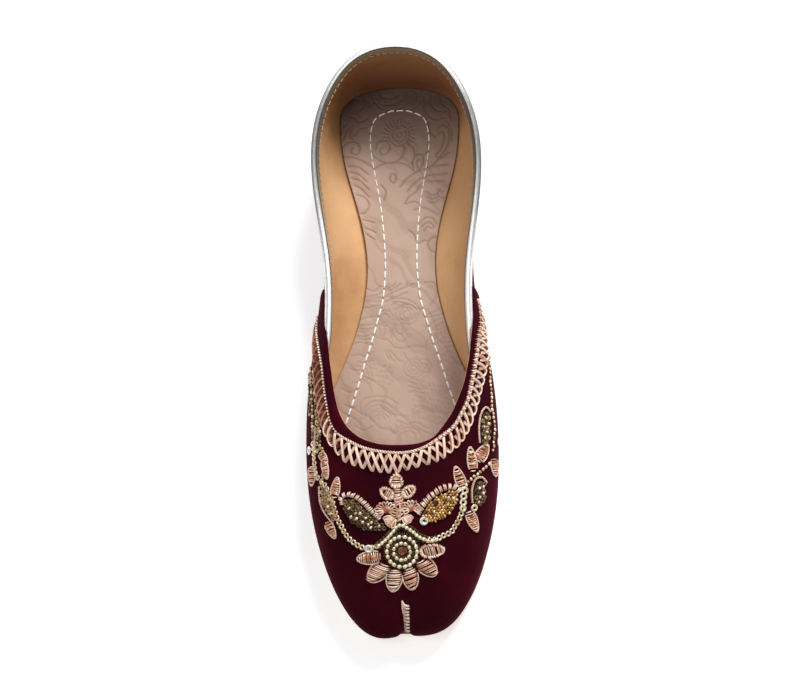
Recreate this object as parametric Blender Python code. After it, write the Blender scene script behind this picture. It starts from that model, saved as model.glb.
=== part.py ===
"""Mojari: a straight-lasted slip-on shoe with a deep U throat, eared vamp, bound topline and notched toe.

Metres, +Z up. The toe points along -Y, and the origin is the middle of the heel lift's tread, on the floor.
The upper is a fan of ribs round the last: each rib is a cubic curve from the feather edge, where the wall
meets the sole, up to the topline. Every wall, overlay and binding is an offset of that one surface.
"""

import math

import bmesh
import bpy
import numpy as np

# Overall sizes
SOLE_LENGTH = 0.2424
LAST_BALL_WIDTH = 0.0702
BACK_HEIGHT = 0.0515
INSTEP_HEIGHT = 0.0405

# Sole, heel and footbed
OUTSOLE_THICKNESS = 0.0032
OUTSOLE_EDGE = 0.0008
HEEL_LIFT_HEIGHT = 0.0040
HEEL_LIFT_INSET = 0.0006
HEEL_LIFT_LENGTH = 0.0580
TOE_SPRING = 0.0060
INSOLE_THICKNESS = 0.0026
INSOLE_INSET = 0.0005

# Walls and trim
UPPER_WALL = 0.0014
VAMP_WALL = 0.0013
BINDING_WALL = 0.0006
BINDING_INNER_FOLD = 0.0034
BINDING_OUTER_FOLD = 0.0016
BINDING_ARCH = 0.8
VAMP_TURN = 0.0006

# Toe notch, where the vamp is pinched back by its stitches
LEFT_LOBE = 0.0031
RIGHT_LOBE = 0.0010
LOBE_OFFSET = 0.0110
LOBE_SPREAD = 0.0085
NOTCH_TROUGH = 0.0014
NOTCH_SPREAD = 0.0028
NOTCH_LENGTH = 0.0200
LOBE_RISE = 0.0070

# Running gap between neighbours
GAP = 0.0003

# Share of a rib over which the wall turns from standing on the sole to following the last
STANDING_SHARE = 0.16

# Density of the faceted surfaces
STEPS_PER_ROW = 4
RIB_STEPS = 12
ACROSS_STEPS = 4
FOLD_STEPS = 6

# Small steps for measuring a direction: in rows and shares, and up to the rim
TANGENT_STEP = 0.02
RIM_STEP = 0.03

# The last, a row for each rib from the back of the heel to the toe, along the right-hand side. Sides are
# shares of the last's ball width, alongs are shares of the sole's length from its back. The rim's height is
# a share of the back height and a share of the instep height, added together. The bulges shape the rib:
# how far it leaves the feather edge outwards and upwards, and how it comes into the rim, as shares of the
# ball width and of the instep height.
RIB_COLUMNS = (
    "feather_side", "feather_along", "rim_side", "rim_along", "rim_back", "rim_instep",
    "low_out", "low_up", "high_out", "high_down",
)
RIBS = {
    "heel_back":   (0.000, 0.0165, 0.000, -0.0050, 1.00, 0.00, 0.045, 0.35, -0.010, 0.40),
    "heel_round":  (0.310, 0.0390, 0.256, 0.0195, 0.985, 0.00, 0.045, 0.32, 0.000, 0.40),
    "heel_side":   (0.365, 0.0940, 0.424, 0.0930, 0.92, 0.00, 0.065, 0.28, 0.010, 0.38),
    "heel_front":  (0.334, 0.1620, 0.476, 0.1740, 0.83, 0.02, 0.090, 0.24, 0.015, 0.34),
    "waist_rear":  (0.255, 0.2460, 0.458, 0.2540, 0.58, 0.22, 0.130, 0.20, 0.020, 0.30),
    "waist":       (0.206, 0.3340, 0.418, 0.3380, 0.35, 0.45, 0.175, 0.18, 0.040, 0.28),
    "ear":         (0.236, 0.4160, 0.402, 0.4180, 0.18, 0.66, 0.205, 0.18, 0.078, 0.28),
    "joint_rear":  (0.330, 0.5000, 0.412, 0.4940, 0.08, 0.80, 0.185, 0.20, 0.105, 0.26),
    "joint":       (0.452, 0.5860, 0.418, 0.5640, 0.02, 0.895, 0.105, 0.26, 0.120, 0.20),
    "ball":        (0.506, 0.6800, 0.374, 0.6200, 0.00, 0.91, 0.060, 0.28, 0.175, 0.14),
    "ball_front":  (0.488, 0.7850, 0.290, 0.6540, 0.00, 0.935, 0.052, 0.29, 0.290, 0.15),
    "toe_side":    (0.420, 0.8740, 0.202, 0.6720, 0.00, 0.962, 0.052, 0.28, 0.400, 0.18),
    "toe_round":   (0.320, 0.9400, 0.136, 0.6795, 0.00, 0.984, 0.060, 0.27, 0.490, 0.20),
    "toe_corner":  (0.188, 0.9780, 0.068, 0.6840, 0.00, 0.996, 0.070, 0.27, 0.540, 0.22),
    "toe_tip":     (0.000, 0.9840, 0.000, 0.6850, 0.00, 1.00, 0.072, 0.27, 0.560, 0.23),
}

# Where the ears, the binding's ends and the sole's bends lie, as shares of the sole's length. The curve is
# the power that sweeps the ear's edge from its foot to its tip.
EAR_TIP_ALONG = 0.405
EAR_FOOT_ALONG = 0.460
BINDING_END_ALONG = 0.520
THROAT_TURN_ALONG = 0.545
EAR_CURVE = 1.5
HEEL_SEAT_END = 0.25
TREAD_START = 0.55
TREAD_END = 0.77

WOOD_BROWN = (0.23, 0.12, 0.06, 1.0)
TAN_LEATHER = (0.52, 0.30, 0.14, 1.0)
WINE_VELVET = (0.055, 0.004, 0.012, 1.0)
SILVER_LEATHER = (0.62, 0.60, 0.56, 1.0)
ROSE_LEATHER = (0.44, 0.30, 0.25, 1.0)

ORIGIN_ALONG = HEEL_LIFT_LENGTH / 2
ROWS = len(RIBS)
TURN = 2 * (ROWS - 1)


def clear_scene():
    for obj in list(bpy.data.objects):
        bpy.data.objects.remove(obj, do_unlink=True)


def smooth_step(value, start, end):
    share = min(1.0, max(0.0, (value - start) / (end - start)))
    return share * share * (3 - 2 * share)


def bump(offset, spread):
    return math.exp(-((offset / spread) ** 2))


def to_frame(side, along, height):
    """A point of the shoe, by its distance along the sole, in the part's frame."""
    return np.array((side, ORIGIN_ALONG - along, height))


def sole_underside(along):
    """Height of the outsole's underside: on the heel lift, down through the waist, flat tread, toe spring."""
    share = along / SOLE_LENGTH
    seat = (HEEL_LIFT_HEIGHT + GAP) * (1 - smooth_step(share, HEEL_SEAT_END, TREAD_START))
    return seat + TOE_SPRING * max(0.0, (share - TREAD_END) / (1 - TREAD_END)) ** 2


def sole_top(along):
    return sole_underside(along) + OUTSOLE_THICKNESS


def last_rows():
    """The ribs table as real sizes, closed round both sides: the left side mirrors the right."""
    right = []
    for values in RIBS.values():
        row = dict(zip(RIB_COLUMNS, values))
        right.append((
            row["feather_side"] * LAST_BALL_WIDTH,
            row["feather_along"] * SOLE_LENGTH,
            row["rim_side"] * LAST_BALL_WIDTH,
            row["rim_along"] * SOLE_LENGTH,
            row["rim_back"] * BACK_HEIGHT + row["rim_instep"] * INSTEP_HEIGHT,
            row["low_out"] * LAST_BALL_WIDTH,
            row["low_up"] * INSTEP_HEIGHT,
            row["high_out"] * LAST_BALL_WIDTH,
            row["high_down"] * INSTEP_HEIGHT,
        ))
    right = np.array(right)
    mirror = np.array((-1, 1, -1, 1, 1, 1, 1, 1, 1))
    return np.vstack((right, right[-2:0:-1] * mirror))


def closed_slopes(rows):
    """Slopes of the smooth closed curve through evenly numbered rows."""
    count = len(rows)
    system = 4 * np.eye(count) + np.eye(count, k=1) + np.eye(count, k=-1)
    system[0, -1] = system[-1, 0] = 1
    return np.linalg.solve(system, 3 * (np.roll(rows, -1, axis=0) - np.roll(rows, 1, axis=0)))


LAST_ROWS = last_rows()
LAST_SLOPES = closed_slopes(LAST_ROWS)


def row_at(turn):
    """Sizes of the rib at a place round the last, and how they change there. Whole numbers are table rows."""
    first = math.floor(turn)
    part = turn - first
    i, j = first % TURN, (first + 1) % TURN
    jump = LAST_ROWS[j] - LAST_ROWS[i]
    a = LAST_SLOPES[i] - jump
    b = jump - LAST_SLOPES[j]
    row = LAST_ROWS[i] + jump * part + part * (1 - part) * (a * (1 - part) + b * part)
    change = jump + (1 - 2 * part) * (a * (1 - part) + b * part) + part * (1 - part) * (b - a)
    return row, change


def feather_at(turn):
    """(side, along) of the feather edge and the outward direction there, in plan."""
    row, change = row_at(turn)
    outward = np.array((change[1], -change[0]))
    return row[:2], outward / np.linalg.norm(outward)


def pinched(point, height_over_sole):
    """Draws the toe out into two lobes beside a stitched notch."""
    side, along, height = point
    notch_along = LAST_ROWS[ROWS - 1][1]
    reach = smooth_step(along, notch_along - NOTCH_LENGTH, notch_along)
    rise = smooth_step(height_over_sole, 0.0, LOBE_RISE)
    lobes = LEFT_LOBE * bump(side + LOBE_OFFSET, LOBE_SPREAD) + RIGHT_LOBE * bump(side - LOBE_OFFSET, LOBE_SPREAD)
    trough = NOTCH_TROUGH * bump(side, NOTCH_SPREAD)
    return np.array((side, along + (lobes - trough) * reach * rise, height - trough * reach * rise))


def last_point(turn, share):
    """A point of the last's surface: share 0 is the feather edge, 1 the topline, over 1 runs straight on."""
    row, _ = row_at(turn)
    (side, along), outward = feather_at(turn)
    base = sole_top(along) + GAP
    start = np.array((side, along, base))
    end = np.array((row[2], row[3], row[4]))
    out = np.array((outward[0], outward[1], 0.0))
    up = np.array((0.0, 0.0, 1.0))
    low = start + out * row[5] + up * row[6]
    high = end + out * row[7] - up * row[8]
    if share > 1:
        along_rib = end - high
        point = end + along_rib * 3 * (share - 1)
    else:
        rest = 1 - share
        point = rest**3 * start + 3 * rest**2 * share * low + 3 * rest * share**2 * high + share**3 * end
    return pinched(point, point[2] - base)


def rim_share(turn, drop):
    """The share of a rib that stops this far short of the topline. A negative drop goes past it."""
    end_speed = np.linalg.norm(last_point(turn, 1) - last_point(turn, 1 - RIM_STEP)) / RIM_STEP
    return 1 - drop / end_speed


def wall_direction(turn, share):
    """The way out of the last at a point. It lies flat at the feather edge, so a wall stands on the sole."""
    low, high = max(0.0, share - TANGENT_STEP), share + TANGENT_STEP
    along_rib = last_point(turn, high) - last_point(turn, low)
    round_last = last_point(turn + TANGENT_STEP, share) - last_point(turn - TANGENT_STEP, share)
    normal = np.cross(round_last, along_rib)
    normal /= np.linalg.norm(normal)
    flat = np.append(feather_at(turn)[1], 0.0)
    if normal @ flat < 0 and normal[2] < 0:
        normal = -normal
    standing = smooth_step(share, 0.0, STANDING_SHARE)
    normal = flat * (1 - standing) + normal * standing
    return normal / np.linalg.norm(normal)


def skin_point(turn, share, offset):
    """The point a distance off the last's surface, in the part's frame. The lower rim follows the sole."""
    inner = last_point(turn, share)
    point = inner + wall_direction(turn, share) * offset
    seated = 1 - smooth_step(share, 0.0, STANDING_SHARE)
    point[2] += (sole_top(point[1]) - sole_top(inner[1])) * seated
    return to_frame(*point)


def turns_along(start, end):
    steps = max(1, round((end - start) * STEPS_PER_ROW))
    return [start + (end - start) * k / steps for k in range(steps + 1)]


def turn_of_along(along_share, column):
    """Where on the right side the feather edge (column 1) or the rim (column 3) is at this share."""
    target = along_share * SOLE_LENGTH
    low, high = 0.0, float(ROWS - 1)
    for _ in range(40):
        middle = (low + high) / 2
        if row_at(middle)[0][column] < target:
            low = middle
        else:
            high = middle
    return low


def mesh_object(name, points, faces, material):
    mesh = bpy.data.meshes.new(name)
    mesh.from_pydata([tuple(p) for p in points], [], faces)
    tidy = bmesh.new()
    tidy.from_mesh(mesh)
    bmesh.ops.recalc_face_normals(tidy, faces=tidy.faces)
    tidy.to_mesh(mesh)
    tidy.free()
    mesh.shade_smooth()
    mesh.set_sharp_from_angle(angle=math.radians(40))
    mesh.materials.append(material)
    obj = bpy.data.objects.new(name, mesh)
    return obj


def wall_between(name, inner, outer, closed, material):
    """A wall from two grids of points, whose rows run from the sole to the rim, one row for each rib."""
    ribs, levels = len(inner), len(inner[0])
    points = [p for grid in (inner, outer) for rib in grid for p in rib]

    def at(skin, rib, level):
        return (skin * ribs + rib % ribs) * levels + level

    faces = []
    spans = ribs if closed else ribs - 1
    for r in range(spans):
        for v in range(levels - 1):
            for skin in (0, 1):
                faces.append((at(skin, r, v), at(skin, r + 1, v), at(skin, r + 1, v + 1), at(skin, r, v + 1)))
        for v in (0, levels - 1):
            faces.append((at(0, r, v), at(0, r + 1, v), at(1, r + 1, v), at(1, r, v)))
    if not closed:
        for r in (0, ribs - 1):
            for v in range(levels - 1):
                faces.append((at(0, r, v), at(0, r, v + 1), at(1, r, v + 1), at(1, r, v)))
    return mesh_object(name, points, faces, material)


def plate(name, outline, top, bottom, material):
    """A sheet of leather cut to an outline of (side, along) pairs, bent to follow two height functions."""
    points, faces, rows = [], [], []
    for pair in outline:
        row = []
        for height in (top, bottom):
            line = []
            count = ACROSS_STEPS if pair[0][0] - pair[1][0] > 1e-6 else 0
            for k in range(count + 1):
                share = k / count if count else 0.5
                side = pair[0][0] + (pair[1][0] - pair[0][0]) * share
                along = pair[0][1] + (pair[1][1] - pair[0][1]) * share
                line.append(len(points))
                points.append(to_frame(side, along, height(along)))
            row.append(line)
        rows.append(row)
    for first, second in zip(rows, rows[1:]):
        for level in (0, 1):
            a, b = first[level], second[level]
            if len(a) == len(b):
                faces += [(a[k], a[k + 1], b[k + 1], b[k]) for k in range(len(a) - 1)]
            else:
                lone, line = (a[0], b) if len(a) == 1 else (b[0], a)
                faces += [(lone, line[k], line[k + 1]) for k in range(len(line) - 1)]
        for end in (0, -1):
            faces.append((first[0][end], second[0][end], second[1][end], first[1][end]))
    for row in (rows[0], rows[-1]):
        if len(row[0]) > 1:
            faces += [(row[0][k], row[0][k + 1], row[1][k + 1], row[1][k]) for k in range(ACROSS_STEPS)]
    return mesh_object(name, points, faces, material)


def feather_outline(offset, start=0.0, end=float(ROWS - 1)):
    """Right and left points of the feather edge, moved outwards by an offset, from the heel to the toe."""
    pairs = []
    for turn in turns_along(start, end):
        (side, along), outward = feather_at(turn)
        side, along = side + outward[0] * offset, along + outward[1] * offset
        on_axis = turn in (0.0, float(ROWS - 1))
        side = 0.0 if on_axis else side
        pairs.append(((side, along), (-side, along)))
    return pairs


def leather(name, color, roughness, metallic=0.0):
    material = bpy.data.materials.new(name)
    material.use_nodes = True
    shader = material.node_tree.nodes["Principled BSDF"]
    shader.inputs["Base Color"].default_value = color
    shader.inputs["Roughness"].default_value = roughness
    shader.inputs["Metallic"].default_value = metallic
    return material


def make_upper():
    """Base upper: one hollow wall round the whole last, open at the collar and underneath."""
    turns = turns_along(0.0, float(TURN))[:-1]
    shares = [k / RIB_STEPS for k in range(RIB_STEPS + 1)]
    inner = [[skin_point(t, v, 0.0) for v in shares] for t in turns]
    outer = [[skin_point(t, v, UPPER_WALL) for v in shares] for t in turns]
    return wall_between("upper", inner, outer, True, leather("lining_leather", TAN_LEATHER, 0.55))


def vamp_drop(turn):
    """How far the vamp's edge stays below the topline: under the binding at the ears, over the rim ahead."""
    along = row_at(turn)[0][3] / SOLE_LENGTH
    ahead = smooth_step(along, BINDING_END_ALONG, THROAT_TURN_ALONG)
    return (BINDING_OUTER_FOLD + GAP) * (1 - ahead) - VAMP_TURN * ahead


def make_vamp():
    """Velvet vamp over the front of the upper, with ears that run back along both sides."""
    ear_tip = turn_of_along(EAR_TIP_ALONG, 3)
    ear_foot = turn_of_along(EAR_FOOT_ALONG, 1)
    half_steps = round((ROWS - 1 - ear_tip) * STEPS_PER_ROW)
    inner, outer = [], []
    for k in range(2 * half_steps + 1):
        across = abs(k / half_steps - 1)
        ribs = ([], [])
        for v in range(RIB_STEPS + 1):
            level = v / RIB_STEPS
            edge = ear_foot + (ear_tip - ear_foot) * level**EAR_CURVE
            turn = ROWS - 1 - (ROWS - 1 - edge) * across
            turn = turn if k <= half_steps else TURN - turn
            share = level * rim_share(turn, vamp_drop(min(turn, TURN - turn)))
            for rib, offset in zip(ribs, (UPPER_WALL + GAP, UPPER_WALL + GAP + VAMP_WALL)):
                rib.append(skin_point(turn, share, offset))
        inner.append(ribs[0])
        outer.append(ribs[1])
    return wall_between("vamp", inner, outer, False, leather("wine_velvet", WINE_VELVET, 0.9))


def binding_section():
    """The folded strip in cross-section: (out of the wall, up past the rim) points, once round."""
    inside, outside = -GAP, UPPER_WALL + GAP
    middle, arch = (inside + outside) / 2, (outside - inside) / 2
    section = [(inside - BINDING_WALL, -BINDING_INNER_FOLD)]
    for k in range(FOLD_STEPS + 1):
        angle = math.pi * (1 - k / FOLD_STEPS)
        reach = arch + BINDING_WALL
        section.append((middle + reach * math.cos(angle), GAP + reach * math.sin(angle) * BINDING_ARCH))
    section += [(outside + BINDING_WALL, -BINDING_OUTER_FOLD), (outside, -BINDING_OUTER_FOLD)]
    section += [(outside, GAP), (inside, GAP), (inside, -BINDING_INNER_FOLD)]
    return section


def make_binding():
    """Metallic leather strip folded over the quarter's topline, from ear to ear round the heel."""
    reach = turn_of_along(BINDING_END_ALONG, 3)
    section = binding_section()
    loops = []
    for turn in turns_along(-reach, reach):
        rim = last_point(turn, 1)
        out = wall_direction(turn, 1)
        up = rim - last_point(turn, 1 - RIM_STEP)
        up /= np.linalg.norm(up)
        loops.append([to_frame(*(rim + out * a + up * b)) for a, b in section])
    count = len(section)
    points = [p for loop in loops for p in loop]
    faces = [tuple(range(count)), tuple(range(len(points) - count, len(points)))]
    for k in range(len(loops) - 1):
        for j in range(count):
            a, b = k * count + j, k * count + (j + 1) % count
            faces.append((a, b, b + count, a + count))
    return mesh_object("topline_binding", points, faces, leather("silver_leather", SILVER_LEATHER, 0.3, 0.8))


def make_insole():
    """Padded footbed lying on the outsole inside the wall."""
    def top(along):
        return sole_top(along) + GAP + INSOLE_THICKNESS

    def bottom(along):
        return sole_top(along) + GAP

    return plate("insole", feather_outline(-INSOLE_INSET), top, bottom, leather("rose_leather", ROSE_LEATHER, 0.6))


def make_outsole():
    edge = UPPER_WALL + GAP + VAMP_WALL + OUTSOLE_EDGE
    outline = feather_outline(edge)
    return plate("outsole", outline, sole_top, sole_underside, leather("sole_leather", WOOD_BROWN, 0.7))


def make_heel_lift():
    """Leather lift under the heel seat, cut to the sole's outline behind its breast."""
    edge = UPPER_WALL + GAP + VAMP_WALL + OUTSOLE_EDGE - HEEL_LIFT_INSET
    breast = turn_of_along(HEEL_LIFT_LENGTH / SOLE_LENGTH, 1)
    outline = feather_outline(edge, 0.0, breast)

    def top(along):
        return sole_underside(along) - GAP

    def bottom(along):
        return 0.0

    return plate("heel_lift", outline, top, bottom, leather("lift_leather", WOOD_BROWN, 0.7))


def main():
    clear_scene()
    shoe = bpy.data.collections.new("mojari_shoe")
    bpy.context.scene.collection.children.link(shoe)
    for make in (make_upper, make_vamp, make_binding, make_insole, make_outsole, make_heel_lift):
        shoe.objects.link(make())


main()
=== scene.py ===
import math
import random

import bmesh
import bpy
import numpy as np
from mathutils import Matrix, Vector
from mathutils.bvhtree import BVHTree
from mathutils.kdtree import KDTree


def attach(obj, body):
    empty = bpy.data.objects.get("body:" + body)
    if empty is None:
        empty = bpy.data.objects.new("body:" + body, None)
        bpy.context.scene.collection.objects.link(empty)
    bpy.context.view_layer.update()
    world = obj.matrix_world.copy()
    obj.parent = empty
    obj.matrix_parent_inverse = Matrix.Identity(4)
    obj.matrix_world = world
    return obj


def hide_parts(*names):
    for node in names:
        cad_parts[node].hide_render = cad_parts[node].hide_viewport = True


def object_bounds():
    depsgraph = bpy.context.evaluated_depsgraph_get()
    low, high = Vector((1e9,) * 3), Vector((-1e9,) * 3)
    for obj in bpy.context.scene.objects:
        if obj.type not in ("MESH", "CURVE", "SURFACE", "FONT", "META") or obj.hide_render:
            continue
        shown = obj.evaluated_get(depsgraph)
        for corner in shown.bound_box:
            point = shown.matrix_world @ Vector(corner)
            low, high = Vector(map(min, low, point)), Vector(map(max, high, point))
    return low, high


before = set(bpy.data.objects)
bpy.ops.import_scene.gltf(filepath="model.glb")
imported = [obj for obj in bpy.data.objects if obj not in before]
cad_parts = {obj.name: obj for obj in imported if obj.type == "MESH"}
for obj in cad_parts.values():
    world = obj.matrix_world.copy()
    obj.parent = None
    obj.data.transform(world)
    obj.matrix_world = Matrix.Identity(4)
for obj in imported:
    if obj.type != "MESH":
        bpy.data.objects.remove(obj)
cadLow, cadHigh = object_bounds()
bpy.ops.object.select_all(action="DESELECT")
print("frame loaded:", ", ".join(sorted(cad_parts)))

mm = 0.001

# The last that the shoe is built on. Ribs run from the heel's back to the toe: sides are
# shares of the ball width, alongs of the sole length, heights of the back and instep heights.
last = {
    "soleLength": 0.2424,
    "ballWidth": 0.0702,
    "backHeight": 0.0515,
    "instepHeight": 0.0405,
    "outsole": 0.0032,
    "outsoleEdge": 0.0008,
    "heelLift": 0.0040,
    "heelLiftInset": 0.0006,
    "heelLiftLength": 0.0580,
    "toeSpring": 0.0060,
    "insole": 0.0026,
    "upperWall": 0.0014,
    "vampWall": 0.0013,
    "gap": 0.0003,
    "standingShare": 0.16,
    "seatEnd": 0.25,
    "treadStart": 0.55,
    "treadEnd": 0.77,
}
ribColumns = ("footSide", "footAlong", "rimSide", "rimAlong", "rimBack", "rimInstep",
              "lowOut", "lowUp", "highOut", "highDown")
ribs = {
    "heelBack":   (0.000, 0.0165, 0.000, -0.0050, 1.00, 0.00, 0.045, 0.35, -0.010, 0.40),
    "heelRound":  (0.310, 0.0390, 0.256, 0.0195, 0.985, 0.00, 0.045, 0.32, 0.000, 0.40),
    "heelSide":   (0.365, 0.0940, 0.424, 0.0930, 0.92, 0.00, 0.065, 0.28, 0.010, 0.38),
    "heelFront":  (0.334, 0.1620, 0.476, 0.1740, 0.83, 0.02, 0.090, 0.24, 0.015, 0.34),
    "waistRear":  (0.255, 0.2460, 0.458, 0.2540, 0.58, 0.22, 0.130, 0.20, 0.020, 0.30),
    "waist":      (0.206, 0.3340, 0.418, 0.3380, 0.35, 0.45, 0.175, 0.18, 0.040, 0.28),
    "ear":        (0.236, 0.4160, 0.402, 0.4180, 0.18, 0.66, 0.205, 0.18, 0.078, 0.28),
    "jointRear":  (0.330, 0.5000, 0.412, 0.4940, 0.08, 0.80, 0.185, 0.20, 0.105, 0.26),
    "joint":      (0.452, 0.5860, 0.418, 0.5640, 0.02, 0.895, 0.105, 0.26, 0.120, 0.20),
    "ball":       (0.506, 0.6800, 0.374, 0.6200, 0.00, 0.91, 0.060, 0.28, 0.175, 0.14),
    "ballFront":  (0.488, 0.7850, 0.290, 0.6540, 0.00, 0.935, 0.052, 0.29, 0.290, 0.15),
    "toeSide":    (0.420, 0.8740, 0.202, 0.6720, 0.00, 0.962, 0.052, 0.28, 0.400, 0.18),
    "toeRound":   (0.320, 0.9400, 0.136, 0.6795, 0.00, 0.984, 0.060, 0.27, 0.490, 0.20),
    "toeCorner":  (0.188, 0.9780, 0.068, 0.6840, 0.00, 0.996, 0.070, 0.27, 0.540, 0.22),
    "toeTip":     (0.000, 0.9840, 0.000, 0.6850, 0.00, 1.00, 0.072, 0.27, 0.560, 0.23),
}
toeNotch = {
    "leftLobe": 0.0031,
    "rightLobe": 0.0010,
    "lobeOffset": 0.0110,
    "lobeSpread": 0.0085,
    "trough": 0.0014,
    "troughSpread": 0.0028,
    "length": 0.0200,
    "rise": 0.0070,
}
originAlong = last["heelLiftLength"] / 2
toeTurn = len(ribs) - 1
fullTurn = 2 * toeTurn
tangentStep = 0.02  # in turns and shares, for the directions of the surface


def smoothStep(value, start, end):
    share = np.clip((value - start) / (end - start), 0, 1)
    return share * share * (3 - 2 * share)


def bump(offset, spread):
    return np.exp(-((offset / spread) ** 2))


def unit(vectors):
    return vectors / np.linalg.norm(vectors, axis=-1, keepdims=True)


def toFrame(points):
    # (side, along, height) of the shoe to the frame's x, y, z
    return np.stack((points[..., 0], originAlong - points[..., 1], points[..., 2]), -1)


def underside(along):
    share = along / last["soleLength"]
    seat = (last["heelLift"] + last["gap"]) * (1 - smoothStep(share, last["seatEnd"], last["treadStart"]))
    spring = np.maximum(0, (share - last["treadEnd"]) / (1 - last["treadEnd"])) ** 2
    return seat + last["toeSpring"] * spring


def soleTop(along):
    return underside(along) + last["outsole"]


def lastRows():
    right = []
    for values in ribs.values():
        r = dict(zip(ribColumns, values))
        right.append((
            r["footSide"] * last["ballWidth"],
            r["footAlong"] * last["soleLength"],
            r["rimSide"] * last["ballWidth"],
            r["rimAlong"] * last["soleLength"],
            r["rimBack"] * last["backHeight"] + r["rimInstep"] * last["instepHeight"],
            r["lowOut"] * last["ballWidth"],
            r["lowUp"] * last["instepHeight"],
            r["highOut"] * last["ballWidth"],
            r["highDown"] * last["instepHeight"],
        ))
    right = np.array(right)
    mirror = np.array((-1, 1, -1, 1, 1, 1, 1, 1, 1))
    return np.vstack((right, right[-2:0:-1] * mirror))


def closedSlopes(rows):
    count = len(rows)
    system = 4 * np.eye(count) + np.eye(count, k=1) + np.eye(count, k=-1)
    system[0, -1] = system[-1, 0] = 1
    return np.linalg.solve(system, 3 * (np.roll(rows, -1, axis=0) - np.roll(rows, 1, axis=0)))


rows = lastRows()
rowSlopes = closedSlopes(rows)


def rowAt(turn):
    # sizes of the ribs at these places round the last, and how they change there
    turn = np.asarray(turn, float)
    first = np.floor(turn).astype(int)
    part = (turn - first)[..., None]
    i, j = first % fullTurn, (first + 1) % fullTurn
    jump = rows[j] - rows[i]
    a = rowSlopes[i] - jump
    b = jump - rowSlopes[j]
    blend = a * (1 - part) + b * part
    row = rows[i] + jump * part + part * (1 - part) * blend
    change = jump + (1 - 2 * part) * blend + part * (1 - part) * (b - a)
    return row, change


def footAt(turn):
    row, change = rowAt(turn)
    outward = unit(np.stack((change[..., 1], -change[..., 0]), -1))
    return row[..., :2], outward


def pinched(point, overSole):
    side, along, height = point[..., 0], point[..., 1], point[..., 2]
    notchAlong = rows[toeTurn][1]
    reach = smoothStep(along, notchAlong - toeNotch["length"], notchAlong)
    rise = smoothStep(overSole, 0, toeNotch["rise"])
    lobes = toeNotch["leftLobe"] * bump(side + toeNotch["lobeOffset"], toeNotch["lobeSpread"])
    lobes = lobes + toeNotch["rightLobe"] * bump(side - toeNotch["lobeOffset"], toeNotch["lobeSpread"])
    trough = toeNotch["trough"] * bump(side, toeNotch["troughSpread"])
    return np.stack((side, along + (lobes - trough) * reach * rise, height - trough * reach * rise), -1)


def lastPoint(turn, share):
    turn, share = np.broadcast_arrays(np.asarray(turn, float), np.asarray(share, float))
    row, _ = rowAt(turn)
    foot, outward = footAt(turn)
    base = soleTop(foot[..., 1]) + last["gap"]
    start = np.concatenate((foot, base[..., None]), -1)
    end = row[..., 2:5]
    out = np.concatenate((outward, np.zeros_like(base)[..., None]), -1)
    up = np.array((0.0, 0.0, 1.0))
    low = start + out * row[..., 5:6] + up * row[..., 6:7]
    high = end + out * row[..., 7:8] - up * row[..., 8:9]
    s = share[..., None]
    rest = 1 - s
    curve = rest**3 * start + 3 * rest**2 * s * low + 3 * rest * s**2 * high + s**3 * end
    straight = end + (end - high) * 3 * (s - 1)
    point = np.where(s > 1, straight, curve)
    return pinched(point, point[..., 2] - base)


def wallDirections(turn, share):
    # the way out of the last, and the way up along its rib
    turn, share = np.broadcast_arrays(np.asarray(turn, float), np.asarray(share, float))
    alongRib = lastPoint(turn, share + tangentStep) - lastPoint(turn, np.maximum(0, share - tangentStep))
    roundLast = lastPoint(turn + tangentStep, share) - lastPoint(turn - tangentStep, share)
    normal = unit(np.cross(roundLast, alongRib))
    _, outward = footAt(turn)
    flat = np.concatenate((outward, np.zeros(outward.shape[:-1] + (1,))), -1)
    inside = (np.sum(normal * flat, -1) < 0) & (normal[..., 2] < 0)
    normal = np.where(inside[..., None], -normal, normal)
    standing = smoothStep(share, 0, last["standingShare"])[..., None]
    return unit(flat * (1 - standing) + normal * standing), unit(alongRib)


def skinPoint(turn, share, offset, up=0.0):
    # a point this far off the last's surface, and this far up along the rib from its share
    turn, share, offset, up = np.broadcast_arrays(*(np.asarray(v, float) for v in (turn, share, offset, up)))
    inner = lastPoint(turn, share)
    out, rise = wallDirections(turn, share)
    point = inner + out * offset[..., None] + rise * up[..., None]
    seated = 1 - smoothStep(share, 0, last["standingShare"])
    point[..., 2] += (soleTop(point[..., 1]) - soleTop(inner[..., 1])) * seated
    return toFrame(point)


def turnOfAlong(alongShare, column):
    # where on the right side the foot (column 1) or the rim (column 3) is at this share of the sole
    tries = np.linspace(0, toeTurn, 1401)
    return float(np.interp(alongShare * last["soleLength"], rowAt(tries)[0][:, column], tries))


rimProbes = np.linspace(0, 1, 61)


def shareBelowRim(turn, drop):
    # the share of each rib that is this far down it from the topline
    turn, drop = np.broadcast_arrays(np.asarray(turn, float), np.asarray(drop, float))
    flatTurn, flatDrop = turn.ravel(), drop.ravel()
    rib = lastPoint(flatTurn[:, None], rimProbes[None, :])
    steps = np.linalg.norm(np.diff(rib, axis=1), axis=-1)
    fromRim = np.concatenate((np.cumsum(steps[:, ::-1], axis=1)[:, ::-1], np.zeros((len(flatTurn), 1))), 1)
    share = np.array([np.interp(d, line[::-1], rimProbes[::-1]) for d, line in zip(flatDrop, fromRim)])
    past = 1 - flatDrop / (steps[:, -1] * (len(rimProbes) - 1))
    return np.where(flatDrop < 0, past, share).reshape(turn.shape)


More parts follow.
